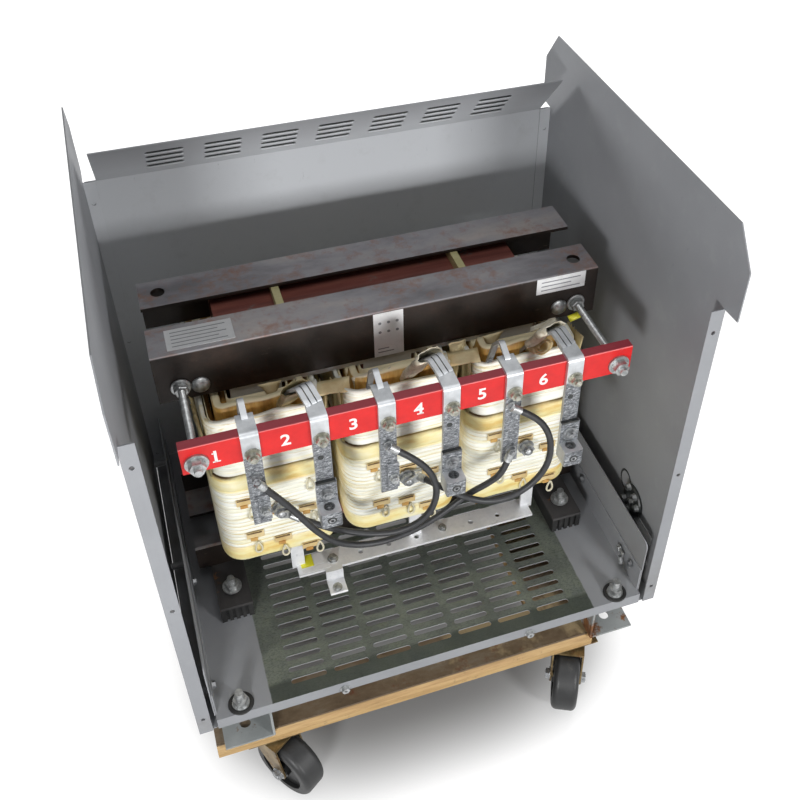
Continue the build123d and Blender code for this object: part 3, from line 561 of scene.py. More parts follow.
GREY = enclosure_paint()
FLOOR = floor_paint()
CHANNEL = rusty_grey("channel_paint", shade(164, 168, 168), shade(134, 139, 139), 0.58, 0.07)
PLATE = rusty_grey("foot_plate_steel", shade(66, 64, 64), shade(38, 36, 36), 0.64)
CLAMP = clamp_scale()
VARNISH = core_varnish()
PAPER = coil_paper()
INNER = inner_paper()
DUCT = kraft("duct_paper", shade(176, 132, 62), shade(96, 66, 28))
TAPE = kraft("tap_tape", shade(228, 208, 160), shade(196, 166, 108))
PLEAT = kraft("pleated_paper", shade(214, 198, 150), shade(120, 104, 66))
FLAP = kraft("loose_kraft", shade(246, 233, 192), shade(216, 190, 134))
STICK = kraft("packing_strip", shade(222, 214, 164), shade(188, 178, 122))
CREPE = crepe()
ALUMINIUM = bar_aluminium()
NEUTRAL = neutral_aluminium()
ZINC = zinc("zinc_plate", shade(186, 188, 188), shade(132, 134, 134))
YELLOW_ZINC = zinc("yellow_zinc", shade(178, 177, 164), shade(108, 108, 102))
RED = terminal_red()
CABLE = cable_black()
PAD = rubber("pad_rubber", shade(18, 18, 18), shade(36, 36, 35))
WHEEL = rubber("wheel_rubber", shade(14, 15, 16), shade(30, 31, 32), 0.28)
RAIL_X = dolly_wood("dolly_wood_cross", "X")
RAIL_Y = dolly_wood("dolly_wood_long", "Y")
FORK = caster_steel()
LABEL = plain_label("white_label", shade(232, 233, 234))
RULED = plain_label("label_rules", shade(132, 134, 138))
MARK = plain_label("white_mark", shade(246, 244, 242))
STICKER = plain_label("yellow_sticker", shade(240, 236, 60))
# Near-black: the earth bus's own colour, and painted shade in the bar holes, set-screw recesses, under the
# lug tongues and over the louver slots.
BLACK_AND_SHADE = plain_label("black_plate", shade(30, 34, 34))
LOOP = plain_label("tap_eyelet", shade(216, 210, 184))
# Dark brown for the strip along each tap patch's top edge: a painted shadow.
SLIT_SHADE = plain_label("tap_slit", shade(92, 64, 30))
TAB = kraft("tap_tab", shade(214, 176, 104), shade(170, 120, 56))
DULL_ZINC = zinc("dull_zinc", shade(164, 166, 168), shade(104, 106, 108))
# Pale grey for the louvers' rolled lips: a painted highlight.
LIP_HIGHLIGHT = plain_label("worn_edge", shade(214, 217, 221))

looks = {
    "back_panel": GREY, "left_side_panel": GREY, "right_side_panel": GREY,
    "left_sill": GREY, "right_sill": GREY, "base_pan": FLOOR,
    "left_foot_channel": CHANNEL, "right_foot_channel": CHANNEL, "core": VARNISH,
    "upper_front_clamp": CLAMP, "upper_rear_clamp": CLAMP,
    "lower_front_clamp": CLAMP, "lower_rear_clamp": CLAMP,
    "yoke_packing": STICK, "lower_packing": STICK, "front_pads": PAD, "rear_pads": PAD,
    "front_foot_plates": PLATE, "rear_foot_plates": PLATE, "terminal_bar": RED, "stand_off_rods": ZINC,
    "neutral_bar": NEUTRAL, "tap_studs": ZINC, "jumper_lugs": ZINC,
    "dolly_front_rail": RAIL_X, "dolly_rear_rail": RAIL_X,
    "dolly_left_rail": RAIL_Y, "dolly_right_rail": RAIL_Y,
}
for name, node in nodes.items():
    if name.startswith(("bus_bar", "box_lug")):
        look = ALUMINIUM
    elif name.startswith("caster_wheel"):
        look = WHEEL
    elif name.startswith("caster"):
        look = FORK
    elif name in looks:
        look = looks[name]
    else:
        continue
    node.data.materials.clear()
    node.data.materials.append(look)


def settle(mesh, name, finish, body="transformer", stands_for=()):
    """Puts a finished mesh in the scene on its body."""
    made = bpy.data.objects.new(name, mesh)
    scene.collection.objects.link(made)
    if not mesh.materials:
        mesh.materials.append(finish)
    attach(made, body)
    if stands_for:
        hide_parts(*stands_for)
    return made


def from_bmesh(shape, name, finish, body="transformer", stands_for=(), smooth=False):
    """A piece from a bmesh, its normals turned outward."""
    bmesh.ops.recalc_face_normals(shape, faces=shape.faces)
    mesh = bpy.data.meshes.new(name)
    shape.to_mesh(mesh)
    shape.free()
    for face in mesh.polygons:
        face.use_smooth = smooth
    return settle(mesh, name, finish, body, stands_for)


def slab(shape, low, high, bevel=0.0):
    """Adds a box between two corners, with softened edges."""
    low, high = Vector(low), Vector(high)
    made = bmesh.ops.create_cube(shape, size=1.0)
    verts = made["verts"]
    bmesh.ops.scale(shape, vec=high - low, verts=verts)
    bmesh.ops.translate(shape, vec=(low + high) / 2, verts=verts)
    if bevel:
        edges = list({edge for vert in verts for edge in vert.link_edges})
        bmesh.ops.bevel(shape, geom=edges, offset=bevel, segments=2, affect="EDGES", profile=0.5)


class Tree:
    """A Geometry Nodes tree with named inputs, grown once and kept as a plain mesh."""

    def __init__(self, name):
        self.group = bpy.data.node_groups.new(name, "GeometryNodeTree")
        self.group.interface.new_socket("Geometry", in_out="INPUT", socket_type="NodeSocketGeometry")
        self.group.interface.new_socket("Geometry", in_out="OUTPUT", socket_type="NodeSocketGeometry")
        self.entry = self.group.nodes.new("NodeGroupInput")
        self.exit = self.group.nodes.new("NodeGroupOutput")

    def input(self, name, kind="Float", value=None):
        socket = self.group.interface.new_socket(name, in_out="INPUT", socket_type=f"NodeSocket{kind}")
        if value is not None:
            socket.default_value = value
        return self.entry.outputs[socket.identifier]

    def geometry(self):
        return self.entry.outputs[0]

    def add(self, kind, settings=None, **inputs):
        node = self.group.nodes.new(kind)
        for key, value in (settings or {}).items():
            setattr(node, key, value)
        for key, value in inputs.items():
            self.feed(node.inputs[key.replace("_", " ")], value)
        return node

    def feed(self, socket, value):
        if isinstance(value, (list, tuple)) and value and isinstance(value[0], bpy.types.NodeSocket):
            for part in value:
                self.group.links.new(part, socket)
        elif isinstance(value, bpy.types.NodeSocket):
            self.group.links.new(value, socket)
        else:
            socket.default_value = value

    def close(self, geometry, material):
        whole = self.add("GeometryNodeRealizeInstances", Geometry=geometry)
        dressed = self.add("GeometryNodeSetMaterial", Geometry=whole.outputs[0], Material=material)
        self.group.links.new(dressed.outputs[0], self.exit.inputs[0])

    def grow(self, mesh, name, **values):
        """The tree's result on a mesh, with the inputs set by identifier."""
        seed = bpy.data.objects.new(f"{name}_seed", mesh)
        scene.collection.objects.link(seed)
        growth = seed.modifiers.new("grow", "NODES")
        growth.node_group = self.group
        for item in self.group.interface.items_tree:
            key = getattr(item, "name", "").replace(" ", "_").lower()
            if getattr(item, "in_out", "") == "INPUT" and key in values:
                growth[item.identifier] = values[key]
        ready = seed.evaluated_get(bpy.context.evaluated_depsgraph_get())
        grown = bpy.data.meshes.new_from_object(ready)
        grown.name = name
        bpy.data.objects.remove(seed)
        return grown


def seats(name, places):
    """Points with an aim and a size, on which fittings are set: (x, y, z, aim, size) in millimetres."""
    mesh = bpy.data.meshes.new(name)
    mesh.from_pydata([at(x, y, z) for x, y, z, aim, size in places], [], [])
    mesh.attributes.new("aim", "FLOAT_VECTOR", "POINT")
    mesh.attributes.new("size", "FLOAT", "POINT")
    for index, (x, y, z, aim, size) in enumerate(places):
        mesh.attributes["aim"].data[index].vector = aim
        mesh.attributes["size"].data[index].value = size
    return mesh


def set_on_seats(tree, shape, material):
    """Ends a tree by setting one shape on every seat, turned to its aim."""
    aim = tree.add("GeometryNodeInputNamedAttribute", {"data_type": "FLOAT_VECTOR"}, Name="aim")
    size = tree.add("GeometryNodeInputNamedAttribute", {"data_type": "FLOAT"}, Name="size")
    turned = tree.add("FunctionNodeAlignRotationToVector", {"axis": "Z"}, Vector=aim.outputs["Attribute"])
    placed = tree.add(
        "GeometryNodeInstanceOnPoints",
        Points=tree.geometry(),
        Instance=shape,
        Rotation=turned.outputs[0],
        Scale=size.outputs["Attribute"],
    )
    tree.close(placed.outputs[0], material)


def stacked(tree, parts):
    """Cylinders one on another along Z: (sides, radius socket, height socket, lift socket or None)."""
    made = []
    for sides, radius, height, lift in parts:
        round_part = tree.add(
            "GeometryNodeMeshCylinder", {"fill_type": "NGON"}, Vertices=sides, Radius=radius, Depth=height
        )
        half = tree.add("ShaderNodeMath", {"operation": "MULTIPLY"})
        tree.feed(half.inputs[0], height)
        half.inputs[1].default_value = 0.5
        level = half.outputs[0]
        if lift is not None:
            raised = tree.add("ShaderNodeMath", {"operation": "ADD"})
            tree.feed(raised.inputs[0], level)
            tree.feed(raised.inputs[1], lift)
            level = raised.outputs[0]
        place = tree.add("ShaderNodeCombineXYZ", Z=level)
        moved = tree.add(
            "GeometryNodeTransform", Geometry=round_part.outputs["Mesh"], Translation=place.outputs[0]
        )
        made.append(moved.outputs[0])
    return tree.add("GeometryNodeJoinGeometry", Geometry=made).outputs[0]


def bolt_tree():
    """A flat washer, a hex nut and the end of its stud."""
    tree = Tree("washer_nut_stud")
    washer = tree.input("Washer Radius", value=0.012)
    washer_high = tree.input("Washer Height", value=0.002)
    nut = tree.input("Nut Radius", value=0.009)
    nut_high = tree.input("Nut Height", value=0.007)
    stud = tree.input("Stud Radius", value=0.0045)
    stud_high = tree.input("Stud Height", value=0.012)
    metal = tree.input("Metal", "Material")
    parts = [
        (24, washer, washer_high, None),
        (6, nut, nut_high, washer_high),
        (14, stud, stud_high, washer_high),
    ]
    set_on_seats(tree, stacked(tree, parts), metal)
    return tree


def dome_tree():
    """A carriage bolt's low domed head."""
    tree = Tree("domed_head")
    radius = tree.input("Radius", value=0.012)
    flat = tree.input("Flatness", value=0.5)
    metal = tree.input("Metal", "Material")
    ball = tree.add("GeometryNodeMeshUVSphere", Segments=24, Rings=12, Radius=radius)
    scale = tree.add("ShaderNodeCombineXYZ", X=1.0, Y=1.0, Z=flat)
    pressed = tree.add("GeometryNodeTransform", Geometry=ball.outputs["Mesh"], Scale=scale.outputs[0])
    smooth = tree.add("GeometryNodeSetShadeSmooth", Geometry=pressed.outputs[0])
    set_on_seats(tree, smooth.outputs[0], metal)
    return tree


BOLTS = bolt_tree()
DOMES = dome_tree()
FORWARD, UP, LEFT, RIGHT, BACK = (0, -1, 0), (0, 0, 1), (-1, 0, 0), (1, 0, 0), (0, 1, 0)


FASTENER_SIZES = (
    "washer_radius", "washer_height", "nut_radius", "nut_height", "stud_radius", "stud_height",
)


def bolts(name, places, metal, sizes, body="transformer", stands_for=()):
    """A set of like fasteners grown on their seats, with their six sizes in millimetres."""
    inputs = {key: size / 1000 for key, size in zip(FASTENER_SIZES, sizes)}
    grown = BOLTS.grow(seats(name, places), name, metal=metal, **inputs)
    return settle(grown, name, metal, body, stands_for)


def domes(name, places, metal, radius, flatness):
    """A set of like domed heads grown on their seats, with their radius in millimetres."""
    grown = DOMES.grow(seats(name, places), name, metal=metal, radius=radius / 1000, flatness=flatness)
    settle(grown, name, metal)


# Jumper cables on their routes
def jumper(name, node, route):
    """A cable along its route's control points, as a smooth spline."""
    line = bpy.data.curves.new(name, "CURVE")
    line.dimensions = "3D"
    line.bevel_depth = 0.0053
    line.bevel_resolution = 5
    line.use_fill_caps = True
    run = line.splines.new("NURBS")
    run.points.add(len(route) - 1)
    for point, (x, y, z) in zip(run.points, route):
        point.co = (x / 1000, y / 1000, z / 1000, 1.0)
    run.order_u = 3
    run.use_endpoint_u = True
    run.resolution_u = 10
    line.materials.append(CABLE)
    cable = bpy.data.objects.new(name, line)
    scene.collection.objects.link(cable)
    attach(cable, "transformer")
    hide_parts(node)


jumper("jumper_a", "jumper_cable_a", [
    (-238, -203, 679), (-205, -199, 622), (-165, -191, 528), (-129, -186, 481), (-77, -183, 456),
    (-18, -181, 458), (37, -179, 479), (84, -178, 515), (116, -196, 553), (133, -206, 582), (141, -204, 606),
])
jumper("jumper_b", "jumper_cable_b", [
    (-38, -203, 689), (-11, -207, 665), (13, -209, 629), (23, -209, 587), (19, -206, 544), (-1, -201, 507),
    (-36, -192, 484), (-75, -180, 479), (-114, -167, 485), (-153, -153, 497), (-184, -138, 512),
])
jumper("jumper_c", "jumper_cable_c", [
    (156, -203, 711), (184, -207, 691), (205, -209, 655), (213, -209, 615), (210, -208, 574),
    (191, -206, 538), (157, -205, 515), (117, -203, 513), (80, -196, 527), (47, -172, 539), (26, -140, 532),
])


# Wound coils: wraps swept round each leg
def wrap_tree():
    """A wall's cut outline swept round a rounded rectangle, then made uneven like hand-taped paper."""
    tree = Tree("wound_wrap")
    width = tree.input("Width", value=0.198)
    depth = tree.input("Depth", value=0.342)
    corner = tree.input("Corner", value=0.038)
    spacing = tree.input("Spacing", value=0.006)
    uneven = tree.input("Unevenness", value=0.001)
    shuffle = tree.input("Shuffle", value=0.0)
    place = tree.input("Place", "Vector")
    paper = tree.input("Paper", "Material")
    square = tree.add("GeometryNodeCurvePrimitiveQuadrilateral", Width=width, Height=depth)
    rounded = tree.add(
        "GeometryNodeFilletCurve", {"mode": "POLY"},
        Curve=square.outputs[0], Count=8, Radius=corner, Limit_Radius=True,
    )
    rail = tree.add("GeometryNodeResampleCurve", {"mode": "LENGTH"}, Curve=rounded.outputs[0], Length=spacing)
    upright = tree.add("GeometryNodeSetCurveNormal", {"mode": "Z_UP"}, Curve=rail.outputs[0])
    section = tree.add("GeometryNodeMeshToCurve", Mesh=tree.geometry())
    swept = tree.add("GeometryNodeCurveToMesh", Curve=upright.outputs[0], Profile_Curve=section.outputs[0])
    moved = tree.add("GeometryNodeTransform", Geometry=swept.outputs[0], Translation=place)
    where = tree.add("GeometryNodeInputPosition")
    stretch = tree.add("ShaderNodeVectorMath", {"operation": "MULTIPLY"})
    tree.feed(stretch.inputs[0], where.outputs[0])
    stretch.inputs[1].default_value = (14.0, 14.0, 30.0)
    waves = tree.add(
        "ShaderNodeTexNoise", {"noise_dimensions": "4D"},
        Vector=stretch.outputs[0], W=shuffle, Scale=1.0, Detail=2.0,
    )
    centred = tree.add("ShaderNodeMath", {"operation": "SUBTRACT"})
    tree.feed(centred.inputs[0], waves.outputs["Fac"])
    centred.inputs[1].default_value = 0.5
    amount = tree.add("ShaderNodeMath", {"operation": "MULTIPLY"})
    tree.feed(amount.inputs[0], centred.outputs[0])
    tree.feed(amount.inputs[1], uneven)
    outward = tree.add("GeometryNodeInputNormal")
    push = tree.add("ShaderNodeVectorMath", {"operation": "SCALE"})
    tree.feed(push.inputs[0], outward.outputs[0])
    tree.feed(push.inputs["Scale"], amount.outputs[0])
    bent = tree.add("GeometryNodeSetPosition", Geometry=moved.outputs[0], Offset=push.outputs[0])
    smooth = tree.add("GeometryNodeSetShadeSmooth", Geometry=bent.outputs[0])
    tree.close(smooth.outputs[0], paper)
    return tree


WRAPS = wrap_tree()


def outline(name, points):
    """A closed wall outline as a loop of edges: outward distance and height, in millimetres."""
    mesh = bpy.data.meshes.new(name)
    count = len(points)
    loop = [(index, (index + 1) % count) for index in range(count)]
    mesh.from_pydata([(out / 1000, -z / 1000, 0.0) for out, z in points], loop, [])
    return mesh


def turns(low, high, pitch, bulge, wall, lip=3.0, seed=0.0):
    """A wall outline whose outer side is a stack of rounded turns, no two quite alike."""
    count = max(1, round((high - low) / pitch))
    step = (high - low) / count
    points = []
    for turn_number in range(count):
        base = low + turn_number * step
        swell = 0.45 * bulge * math.sin(seed + 2.4 * turn_number) * math.sin(1.1 * turn_number + seed)
        tucked = -0.3 * bulge
        for share, out in ((0.0, -bulge), (0.1, tucked), (0.32, swell), (0.68, swell), (0.9, tucked)):
            points.append((out, base + share * step))
    points += [(-bulge, high), (-lip, high + 0.6), (-wall, high), (-wall, low)]
    return points


def wrap(parts, name, leg, width, depth, corner, points, paper, uneven, shuffle):
    """One swept wrap of a coil, added to the coil's parts."""
    parts.append(WRAPS.grow(
        outline(f"{name}_outline", points), name,
        width=width / 1000, depth=depth / 1000, corner=corner / 1000, spacing=0.007,
        unevenness=uneven / 1000, shuffle=shuffle,
        place=at(leg, CORE_MIDDLE, 0.0), paper=paper,
    ))


LOWER, HIGHER = 164, 305
PITCH = (HIGHER - LOWER) / round((HIGHER - LOWER) / 8.7)


def coil(name, node, leg, shuffle):
    """A coil: turned lower section, stepped upper wrap, open duct, inner winding and paper tube."""
    parts = []
    lower_turns = turns(LOWER, HIGHER, 8.7, 1.5, 16, seed=shuffle)
    wrap(parts, f"{name}_lower", leg, 198, 342, 38, lower_turns, PAPER, 2.2, shuffle)
    foot = [
        (-9, 126), (-4, 127.5), (-1.2, 131), (0, 137), (0.3, 148),
        (0, 160), (-1.6, 164.5), (-16, 164.5), (-16, 126),
    ]
    wrap(parts, f"{name}_foot", leg, 198, 342, 38, foot, PAPER, 2.2, shuffle + 3)
    ledge = [
        (-1.4, 304.5), (0.2, 307), (0.6, 316), (0.4, 325),
        (-1.2, 330), (-5, 332), (-16, 331), (-16, 304.5),
    ]
    wrap(parts, f"{name}_ledge", leg, 198, 342, 38, ledge, PAPER, 2.4, shuffle + 5)
    flared = [(1.5, 334), (3.2, 336), (2.6, 339), (0.4, 343)]
    flared += turns(344, 448, 8.7, 1.1, 7, seed=shuffle + 2)[1:-1]
    flared += [(-7, 336)]
    wrap(parts, f"{name}_upper", leg, 182, 326, 30, flared, PAPER, 2.8, shuffle + 9)
    sheet_profile = [(0, 320), (0, 441), (-1.2, 441), (-1.2, 320)]
    wrap(parts, f"{name}_sheet", leg, 163, 306, 24, sheet_profile, INNER, 1.6, shuffle + 10)
    duct = [(0, 300), (0, 402), (-6, 402), (-6, 300)]
    wrap(parts, f"{name}_duct", leg, 158, 300, 20, duct, DUCT, 1.0, shuffle + 11)
    inner = [(0, 318), (0.4, 400), (0.6, 440), (0.2, 458), (-2, 461), (-10, 461), (-12, 458), (-12, 318)]
    wrap(parts, f"{name}_inner", leg, 140, 284, 16, inner, INNER, 2.6, shuffle + 13)
    inside = [(0, 300), (0, 424), (-11, 424), (-11, 300)]
    wrap(parts, f"{name}_core", leg, 114, 250, 6, inside, DUCT, 1.0, shuffle + 15)
    tube = [(0, 300), (0, 441), (-2, 441), (-2, 300)]
    wrap(parts, f"{name}_tube", leg, 96, 205, 4, tube, INNER, 1.6, shuffle + 17)
    whole = bmesh.new()
    slots = [PAPER, DUCT, INNER]
    for mesh in parts:
        start = len(whole.faces)
        material = mesh.materials[0]
        whole.from_mesh(mesh)
        whole.faces.ensure_lookup_table()
        for face in whole.faces[start:]:
            face.material_index = slots.index(material)
            face.smooth = True
    bmesh.ops.recalc_face_normals(whole, faces=whole.faces)
    for vert in whole.verts:
        back = vert.co.y * 1000 + FRONT_EDGE
        up = vert.co.z * 1000 - FLOOR_LEVEL
        if back > 256 and up > 437:
            vert.co.z = (437 + FLOOR_LEVEL) / 1000
        elif up > 436:
            vert.co.z += 0.006 * noise.noise(Vector((vert.co.x * 26, vert.co.y * 26, shuffle)))
    mesh = bpy.data.meshes.new(name)
    whole.to_mesh(mesh)
    whole.free()
    for material in slots:
        mesh.materials.append(material)
    for key in ("groove", "soak", "step_stain_and_shade"):
        mesh.attributes.new(key, "FLOAT", "POINT")
    for index, vert in enumerate(mesh.vertices):
        up = vert.co.z * 1000 - FLOOR_LEVEL
        phase, deep = 0.5, 0.13
        if LOWER < up < HIGHER:
            phase = ((up - LOWER) / PITCH) % 1.0
        elif 346 < up < 446:
            phase, deep = ((up - 344) / (104 / 12)) % 1.0, 0.12
        depth = max(0.0, 1.0 - min(phase, 1.0 - phase) / deep)
        drift = noise.noise(vert.co * 22)
        cornered = max(0.15, min(1.0, (abs(vert.co.x * 1000 - leg) - 45) / 30 + 0.4 * drift))
        # Strength of the groove mark, which is partly varnish and partly painted shade between the turns.
        groove_strength = max(0.15, 0.55 + 0.9 * noise.noise(vert.co * 26))
        mesh.attributes["groove"].data[index].value = depth * groove_strength
        low_edge = max(0.0, min(1.0, (168 - up + 5 * drift) / 10))
        seam = max(0.0, min(1.0, (19 - abs(up - 318)) / 6))
        mesh.attributes["soak"].data[index].value = min(1.0, 0.95 * low_edge + 0.9 * seam)
        # The step line: partly stain, partly painted shade in the step.
        in_step = max(0.0, min(1.0, (3.2 - abs(up - 333.2)) / 1.6))
        mesh.attributes["step_stain_and_shade"].data[index].value = cornered * in_step
    return settle(mesh, name, PAPER, stands_for=(node,))


for leg, side, shuffle in zip(LEGS, ("left", "centre", "right"), (1.0, 21.0, 41.0)):
    coil(f"{side}_winding", f"{side}_coil", leg, shuffle)


# Taps: taped patches, each with a dark strip along its top as a painted shadow, a small tab and an eyelet
# below
def tap_tree():
    """A strip of tape over the turns, its middle pushed up."""
    tree = Tree("tap_tape")
    width = tree.input("Width", value=0.026)
    height = tree.input("Height", value=0.013)
    thick = tree.input("Thickness", value=0.0016)
    tape = tree.input("Tape", "Material")
    size = tree.add("ShaderNodeCombineXYZ", X=width, Y=height, Z=thick)
    patch = tree.add("GeometryNodeMeshCube", Size=size.outputs[0], Vertices_X=8, Vertices_Y=5, Vertices_Z=2)
    where = tree.add("GeometryNodeInputPosition")
    waves = tree.add("ShaderNodeTexNoise", Vector=where.outputs[0], Scale=130.0, Detail=1.0)
    lift = tree.add("ShaderNodeMath", {"operation": "MULTIPLY"})
    tree.feed(lift.inputs[0], waves.outputs["Fac"])
    lift.inputs[1].default_value = 0.0022
    offset = tree.add("ShaderNodeCombineXYZ", Z=lift.outputs[0])
    bent = tree.add("GeometryNodeSetPosition", Geometry=patch.outputs["Mesh"], Offset=offset.outputs[0])
    set_on_seats(tree, bent.outputs[0], tape)
    return tree


def eyelet_tree():
    """A pear-shaped wire eyelet, longer than wide, hanging flat against the coil."""
    tree = Tree("tap_eyelet")
    across_size = tree.input("Across", value=0.0074)
    wire = tree.input("Wire Radius", value=0.0018)
    metal = tree.input("Metal", "Material")
    ring = tree.add("GeometryNodeCurvePrimitiveCircle", Resolution=24, Radius=across_size)
    where = tree.add("GeometryNodeInputPosition")
    parts = tree.add("ShaderNodeSeparateXYZ", Vector=where.outputs[0])
    narrow = tree.add("ShaderNodeMapRange", Value=parts.outputs["Y"])
    narrow.inputs["From Min"].default_value = -0.0074
    narrow.inputs["From Max"].default_value = 0.0074
    narrow.inputs["To Min"].default_value = 1.0
    narrow.inputs["To Max"].default_value = 0.35
    slim = tree.add("ShaderNodeMath", {"operation": "MULTIPLY"})
    tree.feed(slim.inputs[0], parts.outputs["X"])
    tree.feed(slim.inputs[1], narrow.outputs[0])
    tall = tree.add("ShaderNodeMath", {"operation": "MULTIPLY"})
    tree.feed(tall.inputs[0], parts.outputs["Y"])
    tall.inputs[1].default_value = 1.75
    spot = tree.add("ShaderNodeCombineXYZ", X=slim.outputs[0], Y=tall.outputs[0])
    pear = tree.add("GeometryNodeSetPosition", Geometry=ring.outputs[0], Position=spot.outputs[0])
    strand = tree.add("GeometryNodeCurvePrimitiveCircle", Resolution=10, Radius=wire)
    loop = tree.add("GeometryNodeCurveToMesh", Curve=pear.outputs[0], Profile_Curve=strand.outputs[0])
    smooth = tree.add("GeometryNodeSetShadeSmooth", Geometry=loop.outputs[0])
    set_on_seats(tree, smooth.outputs[0], metal)
    return tree


TAPS = (
    (-263, 278), (-215, 247), (-166, 228), (-256, 193), (-212, 167), (-168, 132),
    (-49, 289), (6, 264), (45, 242), (-41, 193), (3, 184), (40, 159),
    (160, 289), (215, 263), (259, 233), (164, 200), (211, 170), (266, 147),
)
EYELETS = (
    (-254, 162), (-211, 136), (-153, 122), (-255, 248), (-158, 204), (-158, 284),
    (-35, 169), (10, 160), (48, 136), (-44, 262), (52, 216),
    (174, 178), (218, 148), (272, 122), (166, 262), (266, 206),
)
TAPPING = tap_tree()


def patches(name, places, finish, **sizes):
    """A set of like flat patches on the coil fronts."""
    grown = TAPPING.grow(seats(name, places), name, tape=finish, **sizes)
    settle(grown, name, finish)


patches("tap_tapes", [(x, COIL_FACE - 0.8, z, FORWARD, 1.0) for x, z in TAPS], TAPE,
        width=0.029, height=0.014)
patches("tap_slits", [(x - 1, COIL_FACE - 2.4, z + 6, FORWARD, 1.0) for x, z in TAPS], SLIT_SHADE,
        width=0.024, height=0.0016, thickness=0.0012)
patches("tap_tabs", [(x - 3, COIL_FACE - 2.2, z - 9, FORWARD, 1.0) for x, z in TAPS], TAB,
        width=0.012, height=0.007, thickness=0.0014)
eyelet_seats = seats("tap_eyelets", [(x, COIL_FACE - 3.6, z, FORWARD, 1.0) for x, z in EYELETS])
loops = eyelet_tree().grow(eyelet_seats, "tap_eyelets", metal=LOOP)
settle(loops, "tap_eyelets", LOOP)


# Paper sleeves over the load leads, which splay to the left as they go back and down into the coil
SPLAY = math.radians(18.0)
LEAD = (
    (0, 514), (14, 522), (22, 526), (30, 526), (38, 521), (46, 511),
    (54, 500), (64, 485), (75, 467), (86, 450), (97, 433),
)
SLEEVE_RING = (
    (-1, -0.7), (-1.06, 0.2), (-0.85, 1.0), (0.0, 1.2), (0.85, 1.0), (1.06, 0.2), (1, -0.7), (0.0, -1.1),
)


def sleeve(shape, x, first, last, half, thick, wobble):
    """A flattened paper tube round a lead between two of its path points, ragged at its upper end."""
    heading = Vector((-math.sin(SPLAY), math.cos(SPLAY), 0.0))
    beside = Vector((math.cos(SPLAY), math.sin(SPLAY), 0.0))
    points = [Vector((x, 136.5, 0.0)) + s * heading + Vector((0.0, 0.0, z)) for s, z in LEAD[first:last]]
    rings = []
    for index, point in enumerate(points):
        along = (points[min(index + 1, len(points) - 1)] - points[max(index - 1, 0)]).normalized()
        out = beside.cross(along)
        share = index / (len(points) - 1)
        grow = 1.0 + 0.12 * math.sin(share * 9.0 + wobble) + 0.22 * (1.0 - share) ** 2
        ring = []
        for side, lift in SLEEVE_RING:
            ragged = along * (5.0 * math.sin(7.0 * side + 3.0 * lift + wobble) if index == 0 else 0.0)
            place = point + out * lift * thick * grow + beside * side * half * grow + ragged
            ring.append(shape.verts.new(at(place.x, place.y, place.z)))
        rings.append(ring)
    for upper, lower in zip(rings, rings[1:]):
        for index in range(8):
            following = (index + 1) % 8
            shape.faces.new((upper[index], upper[following], lower[following], lower[index]))


CRINKLE_SEED = 11
noise.seed_set(CRINKLE_SEED)


def papery(shape, name, finish, thickness, crinkle):
    """Gives loose paper its crinkles and its thickness."""
    for vert in shape.verts:
        vert.co += crinkle * noise.noise_vector(vert.co * 110)
    made = from_bmesh(shape, name, finish, smooth=True)
    wall = made.modifiers.new("paper", "SOLIDIFY")
    wall.thickness = thickness
    wall.offset = 0.0
    return made


sleeves = bmesh.new()
sleeve(sleeves, BARS[3], 4, 11, 15.5, 5.8, 1.0)
sleeve(sleeves, BARS[5], 3, 9, 15.0, 5.6, 4.0)
bmesh.ops.subdivide_edges(sleeves, edges=sleeves.edges, cuts=2, use_grid_fill=True)
papery(sleeves, "lead_sleeves", CREPE, 0.0009, 0.0022)
brown_end = bmesh.new()
sleeve(brown_end, BARS[1], 6, 11, 15.0, 5.6, 2.0)
bmesh.ops.subdivide_edges(brown_end, edges=brown_end.edges, cuts=2, use_grid_fill=True)
papery(brown_end, "lead_sleeve_brown", PLEAT, 0.0009, 0.0022)


# Loose paper round the coil tops
def flap(shape, corners, rows=5, columns=5):
    """A loose sheet between four corners, given in order round it, in millimetres."""
    first, second, third, fourth = (Vector(corner) for corner in corners)
    grid = []
    for row in range(rows + 1):
        v = row / rows
        line = []
        for column in range(columns + 1):
            u = column / columns
            top = first.lerp(second, u)
            bottom = fourth.lerp(third, u)
            place = top.lerp(bottom, v)
            place.y -= 2.5 * math.sin(math.pi * u) * math.sin(math.pi * v)
            line.append(shape.verts.new(at(*place)))
        grid.append(line)
    for upper, lower in zip(grid, grid[1:]):
        for a, b, c, d in zip(upper, upper[1:], lower[1:], lower):
            shape.faces.new((a, b, c, d))


kraft_flaps = bmesh.new()
flap(kraft_flaps, [(-210, 263, 452), (-174, 263, 451), (-188, 258, 424), (-192, 258, 424)])
flap(kraft_flaps, [(155, 263, 450), (193, 263, 453), (175, 258, 427), (171, 258, 427)])
flap(kraft_flaps, [(98, 259, 454), (126, 259, 456), (128, 256, 430), (99, 256, 432)])
for shift in (0, 212):
    corners = ((-123, 240, 453), (-73, 237, 453), (-78, 209, 449), (-129, 213, 449))
    flap(kraft_flaps, [(x + shift, y, z) for x, y, z in corners])
papery(kraft_flaps, "kraft_flaps", FLAP, 0.0007, 0.0016)

